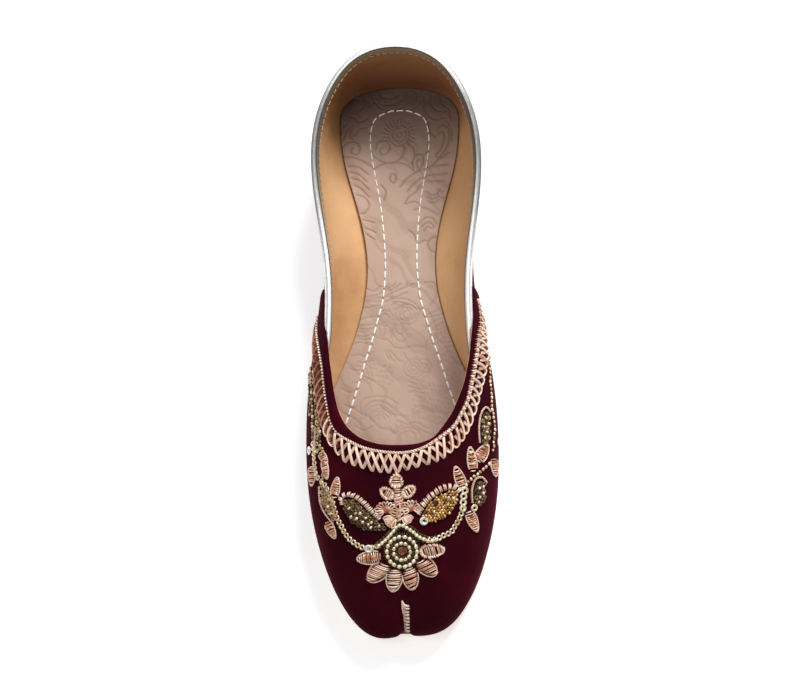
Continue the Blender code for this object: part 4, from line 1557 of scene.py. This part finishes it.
def makeThroat(ground, finishes):
    pairs = smoothLine(throatPairs, 0.8)
    points, normals = ground.laid(pairs[:, :2])
    run = runOf(points) / mm
    run -= run[np.argmin(np.abs(pairs[:, 0] - 286))]
    rope, whiskers, over, under = [], [], [], []
    front = run > throatSizes["dotsEnd"]
    thick = np.interp(run[front], (-28, -20, 12, 20), (0.6, 1.0, 1.0, 1.25))
    # the cord's second ply is darker: painted shade
    plied(rope, points[front], normals[front], 0.42, 0.40 * thick, 0.31 * thick, throatSizes["cordPitch"],
          0.98, plyShade=0.16)

    def at(along, share):
        # in pixels: share 0 on the cord, 1 at the hem
        x, y, hemX, hemY = (np.interp(along, run, pairs[:, k]) for k in range(4))
        return np.stack((x + (hemX - x) * share, y + (hemY - y) * share), -1)

    for k in np.arange(run[0] + 1.0, throatSizes["dotsEnd"], 1.35):
        stitch(rope, ground, at(np.array(k - 0.3), 0.0), at(np.array(k + 0.3), 0.0), 0.6, 0.32, 0.95, count=6)
    for n, k in enumerate(np.arange(12.0, run[-1] - 2, 1.15)):
        cordSpot, hemSpot = at(np.array(k + 0.5), 0.0), at(np.array(k - 0.4), 1.0)
        inward = (cordSpot - hemSpot) / np.linalg.norm(cordSpot - hemSpot)
        reach = 2.0 * min(1.0, (k - 11) / 9) + 0.6
        stitch(whiskers, ground, cordSpot + inward * reach, cordSpot - inward * 1.6, 0.95, 0.27,
               0.9 - 0.65 * (n % 2) + jitter(0.1), count=7)
    cell = throatSizes["cell"]
    for side, reach in ((-1, -run[0]), (1, run[-1])):
        for k in range(-1 if side > 0 else 0, int((reach - 3) / cell)):
            spot = np.array((k + 0.5) * cell - (throatSizes["leftLater"] if side < 0 else 0.0))
            hooked = float(smoothStep(spot, throatSizes["latticeEnd"], throatSizes["hooksStart"]))
            faded = float(smoothStep(spot, throatSizes["hooksStart"], throatSizes["hooksStart"] + 6))
            crossed = ((0, 0.35, 0.65, 0.88, 1.0, 1.07), (0, 0.35, 0.65, 0.9, 1.0, 0.92))
            hook = ((0, 0.15, 0.55, 1.0, 1.35, 1.6), (0.1, 0.6, 0.97, 1.0, 0.8, 0.45))
            steps, shares = (np.array(c) * (1 - hooked) + np.array(h) * hooked for c, h in zip(crossed, hook))
            along = side * cell * (k + 1 - steps) + jitter(0.15)
            path = smoothLine(np.stack((along, shares * cell), -1), 0.45)
            lifts = stitchLifts(len(path), 0.8, 0.25)
            fade = 0.62 * faded if side < 0 else 0.0
            tone = 0.9 - fade + jitter(0.15)
            shifts = (-0.4, 0.0, 0.4) if hooked < 0.5 else (-0.28, 0.28)
            for shift in shifts:
                line, _ = ground.laid(at(path[:, 0] + shift, path[:, 1] / cell), lifts)
                over.append((line, np.full(len(path), 0.25), tone + jitter(0.18)))
            if hooked > 0.5:
                for n in range(1 if side > 0 else 3):
                    back = side * cell * (0.22 + n * 0.18)
                    spots = at(path[:, 0] - back, path[:, 1] / cell * (0.93 - 0.06 * n))
                    line, _ = ground.laid(spots, lifts * (0.7 - 0.15 * n))
                    over.append((line, np.full(len(path), 0.2), 0.3 - fade * 0.7 - 0.15 * n + jitter(0.2)))
                continue
            if k < 0:
                continue
            ends = np.linspace(0, 1, 9)
            lifts = stitchLifts(9, 0.45, 0.1)
            for shift in shifts:
                shares = 0.04 + ends * (0.94 - 0.3 * hooked)
                line, _ = ground.laid(at(side * cell * (k + ends) + shift, shares), lifts)
                under.append((line, np.full(9, 0.25), 0.68 - 0.4 * hooked + jitter(0.15)))
    rows = vampSizes["rows"]
    fold = np.full(throatSizes["edgingSteps"], (rows[0] + throatSizes["edgingAt"] * rows[1]) / sum(rows))
    edging = vampPlace(np.linspace(0.03, 0.97, throatSizes["edgingSteps"]), fold)
    sewn(finishes, ("throat_edging", [(edging, np.full(len(edging), 0.19), 0.45)], "rose"),
         ("throat_cord", rope, "rose"), ("throat_couching", whiskers, "rose"),
         ("throat_lattice_over", over, "rose"), ("throat_lattice_under", under, "rose"))


# The flower under the throat, in pixels: petals are (x, y, length, width, angle, slant)
flower = {
    "petals": ((285.4, 484.2, 15, 16.5, 270, 0.0, "rimmed"), (276.0, 496.6, 16, 14, 215, 0.8, "rimmed"),
               (298.0, 494.6, 16, 14, 322, -0.8, "rimmed"), (286.5, 497.0, 15, 10, 90, 0.6, "satin")),
    "body": (
        ((282.0, 503.0), (292.5, 499.5)), ((281.5, 506.5), (293.5, 502.5)), ((282.5, 510.0), (294.5, 505.5)),
        ((283.5, 513.5), (294.0, 509.0)), ((284.5, 517.0), (293.5, 512.5)), ((284.0, 521.0), (293.0, 516.0)),
        ((285.0, 524.5), (293.5, 519.5)), ((283.0, 500.0), (286.0, 512.0)), ((292.0, 500.0), (289.5, 513.0)),
        ((288.0, 502.0), (288.5, 520.0)), ((285.5, 510.0), (287.5, 526.0)), ((291.5, 510.0), (289.5, 526.0)),
    ),
    "fans": ((275.6, 514.0, 2.0, 11.4, 135, 395, 12, 0.86), (300.6, 512.0, 1.8, 9.6, -225, 30, 10, 0.95),
             (287.0, 518.5, 4.0, 15.0, 108, 172, 6, 0.95), (289.5, 517.0, 4.0, 13.5, 14, 66, 5, 0.9)),
    "hollows": ((275.4, 514.0, 3.0), (299.5, 512.6, 2.6)),
    "stem": ((285.4, 474.5), (285.2, 479.0)),
}


def makeFlower(ground, finishes):
    stores = {"rose": [], "rust": []}
    for x, y, *shape in flower["petals"]:
        petal(stores, ground, (x, y), *shape)
    for a, b in flower["body"]:
        stitch(stores["rose"], ground, a, b, 0.8, 0.4, 0.62 + jitter(0.22), jitter(1.2))
    for x, y, *shape in flower["fans"]:
        fan(stores["rose"], ground, (x, y), *shape)
    for x, y, radius in flower["hollows"]:
        for k in range(4):
            at = x - radius + radius * (k + 0.5) / 2
            stitch(stores["rust"], ground, (at, y - radius), (at, y + radius), 0.35, 0.34, 0.5)
    cord(stores["rose"], ground, flower["stem"], 0.6, 0.25, 0.32, 1.8, 0.75)
    sewn(finishes, ("flower_stitches", stores["rose"], "rose"), ("flower_hearts", stores["rust"], "rust"))


# The rosette and its six petals, in pixels
rosette = {
    "centre": (291.2, 554.6),
    "rings": ((8.4, 11, 1.5, 0.84), (15.0, 18, 1.6, 0.88)),
    "dashes": ((9.5, 13.6, 34), (16.0, 19.0, 44), (5.0, 7.6, 18)),
    "base": 18.6,
    "petals": ((259.0, 561.2, 25, 15, 174, 0.0, "heart"), (266.8, 575.8, 24, 20, 135, 4.0, "satin"),
               (283.2, 583.2, 23, 18.5, 97, 1.0, "satin"), (299.8, 581.8, 22, 18, 80, 1.6, "satin"),
               (316.6, 570.6, 22, 18.5, 42, -3.0, "satin"), (321.4, 553.8, 26, 17, -6, 1.0, "rimmed")),
    "arch": ((268, 549), (275, 543), (278.7, 539), (282.5, 534.6), (286.2, 529.9), (291.2, 528.2),
             (296.9, 531.5), (302.5, 535.2), (307.5, 539.6), (313.1, 542.1), (318.7, 544), (325, 542.5)),
}


def makeRosette(ground, finishes, seats):
    centre = np.array(rosette["centre"])
    spin = np.linspace(0, 4.2 * math.pi, 50)
    swirl = wayAt(spin) * (0.6 + spin[:, None] * 0.29) + centre
    core, dashes = [], []
    cord(core, ground, swirl[::3], 0.5, 0.24, 0.3, 1.8, 0.12)
    for inner, outer, count in rosette["dashes"]:
        for k in range(count):
            way = wayAt(2 * math.pi * (k + jitter(0.15)) / count)
            stitch(dashes, ground, centre + way * inner, centre + way * outer, 0.30, 0.28, 0.5, count=5)
    for radius, count, size, tone in rosette["rings"]:
        for k in range(count):
            way = wayAt(2 * math.pi * (k + jitter(0.08)) / count)
            beadAt(seats["bead"], ground, *(centre + way * radius), size, tone + jitter(0.1), 0.7,
                   (-way[1], -way[0], 0))
    edge = wayAt(np.linspace(0, 2 * math.pi, 28, endpoint=False)) * rosette["base"] + centre
    patch("rosette_felt", ground, edge, centre, 0.35, finishes["olive"])
    stores = {"rose": [], "rust": []}
    for x, y, *shape in rosette["petals"]:
        petal(stores, ground, (x, y), *shape, rise=1.0)
    arch = smoothLine(rosette["arch"], 4.2)
    for spot, way in zip(arch, np.gradient(arch, axis=0)):
        beadAt(seats["bead"], ground, spot[0], spot[1], 1.55, 0.86 + jitter(0.1), 0.62, (way[0], -way[1], 0))
        side = unit(np.array((-way[1], way[0])))
        for shift in (-3.2, -1.6, 0.0, 1.6, 3.2):
            foot = spot + side * shift
            stitch(dashes, ground, foot - way * 0.55, foot + way * 0.55, 0.3, 0.42, 0.35, count=5)
    sewn(finishes, ("rosette_core", core, "rose"), ("rosette_dashes", dashes, "olive"),
         ("rosette_petals", stores["rose"], "rose"), ("rosette_hearts", stores["rust"], "rust"))


# Vines, leaves and sequins of both flanks, in pixels
flanks = {
    "vines": (
        ((319, 543), (326, 542), (332, 538.7), (339.7, 535.3), (343.6, 529.5), (347, 524), (349.7, 518),
         (351.2, 512)),
        ((266, 549.6), (258, 551.5), (249.7, 550.2), (243.6, 546.3), (237.4, 541), (232.8, 534), (229.8, 528),
         (226.7, 522.6), (224.4, 515), (222.9, 509), (219.8, 499.7), (215.2, 489.7), (209.9, 484.4),
         (206, 478.3), (204.5, 470.6), (203.8, 463), (203, 455), (202.6, 447)),
    ),
    "beadVines": (
        ((381, 453), (382, 447), (382.8, 435), (382.2, 423.5), (380.5, 412), (379.4, 395), (378.2, 383),
         (378.2, 372), (377.6, 360)),
        ((377.5, 467.0), (371.0, 473.0), (364.0, 478.5), (358.0, 483.5), (355.0, 488.0)),
        ((202.6, 440.7), (202.4, 430), (202.6, 417.8), (202, 408), (201.5, 400.6), (201, 383),
         (200.3, 371.8)),
        ((205.6, 436), (205.8, 424), (205.6, 412), (204.8, 400), (204.2, 386), (203.4, 375)),
        ((199.6, 418), (199.6, 404), (199.0, 390), (198.8, 378)),
        ((212.0, 452), (213.4, 464), (212.6, 476), (212.0, 486)),
        ((209.4, 452), (209.4, 440), (208.6, 428), (207.4, 418)),
    ),
    "rings": ((313.1, 524.0), (258.1, 552.1), (199.5, 454.0), (386.0, 444.6)),
    "bigLinks": ((353.4, 493.6), (352.2, 499.4), (351.8, 505.4), (351.6, 511.2), (362.7, 510.8)),
    # x, y, length, width, angle
    "petals": (
        (225.0, 491.5, 21, 10, 280), (220.4, 533.4, 18, 9.5, 65), (201.6, 479.0, 20, 9, 92),
        (213.0, 461.5, 13, 8, 62), (214.6, 472.5, 20, 7.5, 80), (348.2, 480.8, 23, 12, 250),
        (361.4, 524.0, 22, 12, 68), (360.5, 462.8, 25, 11, 262), (370.8, 456.4, 20, 14, 300),
        (383.2, 470.2, 18, 9, 84),
    ),
}
# beaded leaves: rim (drawn so that its stitches stand out to the left), outline, what fills it, single beads
beadLeaves = (
    {"rim": ((309.0, 516.5), (313.5, 509), (320.6, 501.0), (331.0, 493.5), (340.5, 491.0), (346.4, 494)),
     "outline": ((311, 519), (315, 511), (322, 503), (332, 496.5), (341, 494), (346.5, 498), (344.5, 508),
                 (338, 517), (329, 523), (319, 526)), "fill": "beads", "hollow": (324.5, 507.5, 2.6),
     "tones": (0.45, 0.6, 0.72, 0.3), "length": 4.6,
     "bright": ((337, 500.5), (342, 501), (336.5, 507.5), (323, 514.5))},
    {"rim": ((232.0, 507), (231.0, 502), (235, 499.0), (242, 500.0), (250, 505.0), (259, 514.0),
             (267, 521.5)),
     "outline": ((232.5, 509), (233.5, 503), (240, 502), (248, 507), (258, 516), (267, 524), (274, 531.5),
                 (266, 532.5), (256, 533), (244, 528), (236, 519)), "fill": "links", "hollow": None,
     "tones": (0.06, 0.3), "length": 3.2,
     "bright": ((239, 511.5), (245.5, 516.5), (250.0, 516.5), (246.5, 521.5), (255.5, 521), (252.5, 525),
                (261, 525.5), (260.5, 530.5), (268.5, 529.0), (258, 527.5), (241, 520))},
    {"rim": ((361.0, 506), (360.6, 493), (364.0, 482.5), (370.4, 480.5), (375.4, 486)),
     "outline": ((363.5, 507), (363.0, 494), (366.5, 485), (371.5, 484.5), (374.0, 495), (369.5, 508)),
     "fill": "links", "hollow": None, "tones": (0.1, 0.35), "length": 1.8,
     "bright": ((367, 491), (370.5, 496), (367.5, 500), (371, 489.5), (366.5, 505))},
    {"rim": ((368.4, 446), (367.6, 431), (369.6, 417), (374.4, 410.5), (379.0, 415)),
     "outline": ((370, 448), (369.6, 432), (371.4, 420), (375, 414), (378.6, 424), (378.2, 438),
                 (374.5, 449)),
     "fill": "links", "hollow": None, "tones": (0.15, 0.45), "length": 1.4,
     "bright": ((373, 421), (375.5, 427), (372, 430), (374.5, 435), (372.5, 441))},
    {"rim": ((204.6, 459), (204.4, 440), (205.8, 424), (208.6, 419)),
     "outline": ((205.0, 459), (205.4, 440), (206.8, 424), (208.8, 432), (208.4, 448), (206.8, 460)),
     "fill": "links", "hollow": None, "tones": (0.4, 0.7), "length": 1.0, "bright": ()},
    {"rim": ((223.0, 528), (214.0, 516), (209.4, 504), (208.6, 490)),
     "outline": ((223.0, 525), (215.0, 514), (210.4, 503), (209.8, 490), (213, 486), (218, 495), (222.0, 507),
                 (226.0, 520)), "fill": "links", "hollow": None, "tones": (0.35, 0.6), "length": 0.8,
     "bright": ((218.5, 510), (221, 517))},
)


def makeFlanks(ground, finishes, seats):
    stores = {"rose": [], "rust": []}
    for x, y, *shape in flanks["petals"]:
        petal(stores, ground, (x, y), *shape, 0.0, "heart", rise=0.8, point=0.45)
    for k, leaf in enumerate(beadLeaves):
        if leaf["length"] > 2:
            rimStitches(stores["rose"], ground, leaf["rim"], leaf["length"])
        else:
            cord(stores["rose"], ground, leaf["rim"], 0.5, 0.12 + 0.1 * leaf["length"], 0.22, 2.2, 0.8)
        padding = finishes["amber" if leaf["fill"] == "beads" else "olive"]
        patch("leaf_felt_%d" % k, ground, leaf["outline"], np.mean(leaf["outline"], axis=0), 0.55, padding)
        if leaf["fill"] == "beads":
            beadField(seats["amber"], ground, leaf["outline"], 3.0, 1.08, leaf["tones"], leaf["hollow"])
        else:
            linkField(seats["smallLink"], ground, leaf["outline"], 3.9, 0.8, leaf["tones"])
        for x, y in leaf["bright"]:
            beadAt(seats["bead"], ground, x, y, 1.05 + jitter(0.2), 0.86 + jitter(0.2), 1.3)
    for path in flanks["vines"]:
        chain(seats["link"], ground, path)
    for path in flanks["beadVines"]:
        single = path[0][0] > 300
        for x, y in smoothLine(path, 4.0 if single else 3.5):
            beadAt(seats["bead"], ground, x + jitter(0.5), y + jitter(0.3),
                   (1.12 if single else 1.3) + jitter(0.1), (0.74 if single else 0.36) + jitter(0.4))
    for x, y in flanks["bigLinks"]:
        seatAt(seats["link"], ground, x, y, 0.7, 1.3 * mm, 0.92)
    for x, y in flanks["rings"]:
        seatAt(seats["ring"], ground, x, y, 0.7, mm, 0.5, tip=0.15)
    sewn(finishes, ("flank_leaf_stitches", stores["rose"], "rose"),
         ("flank_leaf_hearts", stores["rust"], "rust"))


# The bartack that pinches the toe, in pixels: top and bottom, half widths, stitches
bartack = {
    "top": (294.8, 607.0),
    "bottom": (296.6, 632.0),
    "halfWidths": (3.9, 2.5),
    "stitches": 9,
    "slant": 5.0,
    "leftCord": ((290.9, 604.0), (291.2, 613.0), (294.2, 624.0)),
}


def makeBartack(ground, finishes):
    store = []
    top, bottom = np.array(bartack["top"]), np.array(bartack["bottom"])
    for k in range(bartack["stitches"]):
        share = k / (bartack["stitches"] - 1)
        spot = top + (bottom - top) * share
        half = np.interp(share, (0, 1), bartack["halfWidths"])
        for shift in (-0.5, 0.5):
            a = spot + (-half + jitter(0.3), -bartack["slant"] / 2 + shift)
            b = spot + (half + jitter(0.3), bartack["slant"] / 2 + shift)
            tone = 1.0 - 0.25 * (shift > 0) + jitter(0.2)
            stitch(store, ground, a, b, 0.7, 0.28, tone, 0.7, count=9)
    cord(store, ground, bartack["leftCord"], 0.5, 0.18, 0.22, 1.9, 0.85)
    sewn(finishes, ("toe_bartack", store, "rose"))


def cupped(mesh):
    # a sequin's ring: a flat torus pressed to a shallow dish
    for vertex in mesh.vertices:
        far = math.hypot(vertex.co.x, vertex.co.y)
        vertex.co.z = vertex.co.z * 0.5 + (far - 1.1) * 0.25


def flattened(mesh):
    for vertex in mesh.vertices:
        vertex.co.z *= 0.8


# in mm, scaled to metres at each seat: a ball's segments, or a ring's segments and radii, both ways round
beadShapes = {
    "bead": (9,),
    "amber": (8,),
    "link": (14, 6, 0.86, 0.40),
    "smallLink": (10, 5, 0.86, 0.40),
    "ring": (28, 8, 1.15, 0.66),
}


def beadShape(kind):
    bpy.ops.object.select_all(action="DESELECT")
    segments, *ring = beadShapes[kind]
    if ring:
        bpy.ops.mesh.primitive_torus_add(major_segments=segments, minor_segments=ring[0],
                                         major_radius=ring[1], minor_radius=ring[2])
    else:
        bpy.ops.mesh.primitive_uv_sphere_add(segments=segments, ring_count=6, radius=0.6)
    made = bpy.context.active_object
    mesh = made.data
    (cupped if kind == "ring" else flattened)(mesh)
    bpy.data.objects.remove(made)
    return mesh


def makeStitches(finish):
    # the sock's white running stitches, mirrored about its middle
    half = smoothLine(stitchPath, 0.5)
    full = np.vstack((half[::-1] * (1, -1), half[1:]))
    run = runOf(full)
    strands = []
    at = 0.6
    while at + stitchSizes["length"] < run[-1]:
        t = np.linspace(at, at + stitchSizes["length"], 7)
        along = np.interp(t, run, full[:, 0]) * mm
        side = np.interp(t, run, full[:, 1]) * mm
        height = insoleTop(along) + 0.00020 - 0.00034 * np.abs(np.linspace(-1, 1, 7)) ** 5
        radius = stitchSizes["radius"] * np.interp(along, (0.05, 0.12), (0.85, 1.25))
        strands.append((toFrame(np.stack((side, along, height), -1)), radius, 0.85))
        at += stitchSizes["pitch"]
    threadPiece("sock_stitches", strands, finish)


bindingStitches = {"lift": -1.45, "offset": -1.16, "length": 1.9, "pitch": 2.75, "radius": 0.18, "end": 0.49}


def makeBindingStitches(finish):
    reach = turnOfAlong(bindingStitches["end"], 3)
    turns = np.linspace(-reach, reach, 3000)
    line = skinPoint(turns, 1.0, bindingStitches["offset"] * mm, bindingStitches["lift"] * mm)
    run = runOf(line) / mm
    strands = []
    at = 0.5
    while at + bindingStitches["length"] < run[-1]:
        t = np.interp(np.linspace(at, at + bindingStitches["length"], 6), run, turns)
        sunk = 0.16 - 0.3 * np.abs(np.linspace(-1, 1, 6)) ** 5
        points = skinPoint(t, 1.0, (bindingStitches["offset"] - sunk) * mm, bindingStitches["lift"] * mm)
        strands.append((points, np.full(6, bindingStitches["radius"]), 0.8))
        at += bindingStitches["pitch"]
    threadPiece("binding_stitches", strands, finish)


# colours of each thread in shade, flat and light, then how metallic and how rough it is
threads = {
    "white": ("whiteThread", (190, 186, 178), (232, 230, 224), (255, 255, 252), 0.0, 0.35),
    "rose": ("roseGoldThread", (122, 60, 42), (206, 148, 119), (252, 226, 206), 0.45, 0.32),
    "rust": ("rustThread", (104, 44, 24), (176, 100, 66), (222, 156, 116), 0.35, 0.36),
    "amber": ("amberThread", (70, 46, 20), (146, 104, 50), (206, 166, 92), 0.5, 0.3),
    "olive": ("oliveThread", (34, 26, 12), (84, 70, 34), (150, 130, 76), 0.5, 0.3),
    "binding": ("bindingThread", (74, 56, 40), (150, 120, 90), (206, 178, 144), 0.0, 0.4),
}


makeStage()
makeCamera()
print("stage, lights and camera set")
velvetMaterial = velvetFinish()
vampSkin = makeVamp(velvetMaterial)
makeQuarters(velvetMaterial)
print("velvet laid on vamp and quarters")
makeLining(liningFinish())
makeBinding(bindingFinish())
print("lining and binding made")
outsoleEdge = vampOffset + last["outsoleEdge"]
soleLeather = soleFinish("soleLeather", sole["tan"], sole["worn"], 1.8)
liftLeather = soleFinish("liftLeather", sole["dark"], sole["tan"], 1.5)
makePlate("outsole_leather", outsoleEdge, 0.0, 1.0, soleTop, underside, soleLeather, "outsole")
makePlate("heel_lift_leather", outsoleEdge - last["heelLiftInset"], 0.0, last["heelLiftLength"],
          lambda along: underside(along) - last["gap"], lambda along: 0.0 * along,
          liftLeather, "heel_lift", flatEnd=True)
makeInsole(insoleFinish())
print("outsole, heel lift and insole made")
finishes = {thread: threadFinish(*look) for thread, look in threads.items()}
makeStitches(finishes["white"])
makeBindingStitches(finishes["binding"])
ground = Ground(vampSkin)
seats = {kind: [] for kind in beadShapes}
makeThroat(ground, finishes)
print("throat's cord and lattice laid")
makeFlower(ground, finishes)
makeRosette(ground, finishes, seats)
makeFlanks(ground, finishes, seats)
makeBartack(ground, finishes)
print("flower, rosette, leaves and bartack stitched")
goldBead = beadFinish("goldBead", 1.0, 1.0)
amberBead = beadFinish("amberBead", 0.9, 0.68)
for title, kind, finish, slot in (("seed_beads", "bead", goldBead, "gold_bead"),
                                  ("amber_beads", "amber", amberBead, "gold_bead"),
                                  ("vine_links", "link", goldBead, "gold_bead"),
                                  ("leaf_links", "smallLink", goldBead, "gold_bead"),
                                  ("ring_sequins", "ring", sequinFinish(), "clear_sequin")):
    stamped(title, beadShape(kind), seats[kind], finish)
    print(title, len(seats[kind]))
bpy.data.meshes.remove(vampSkin)
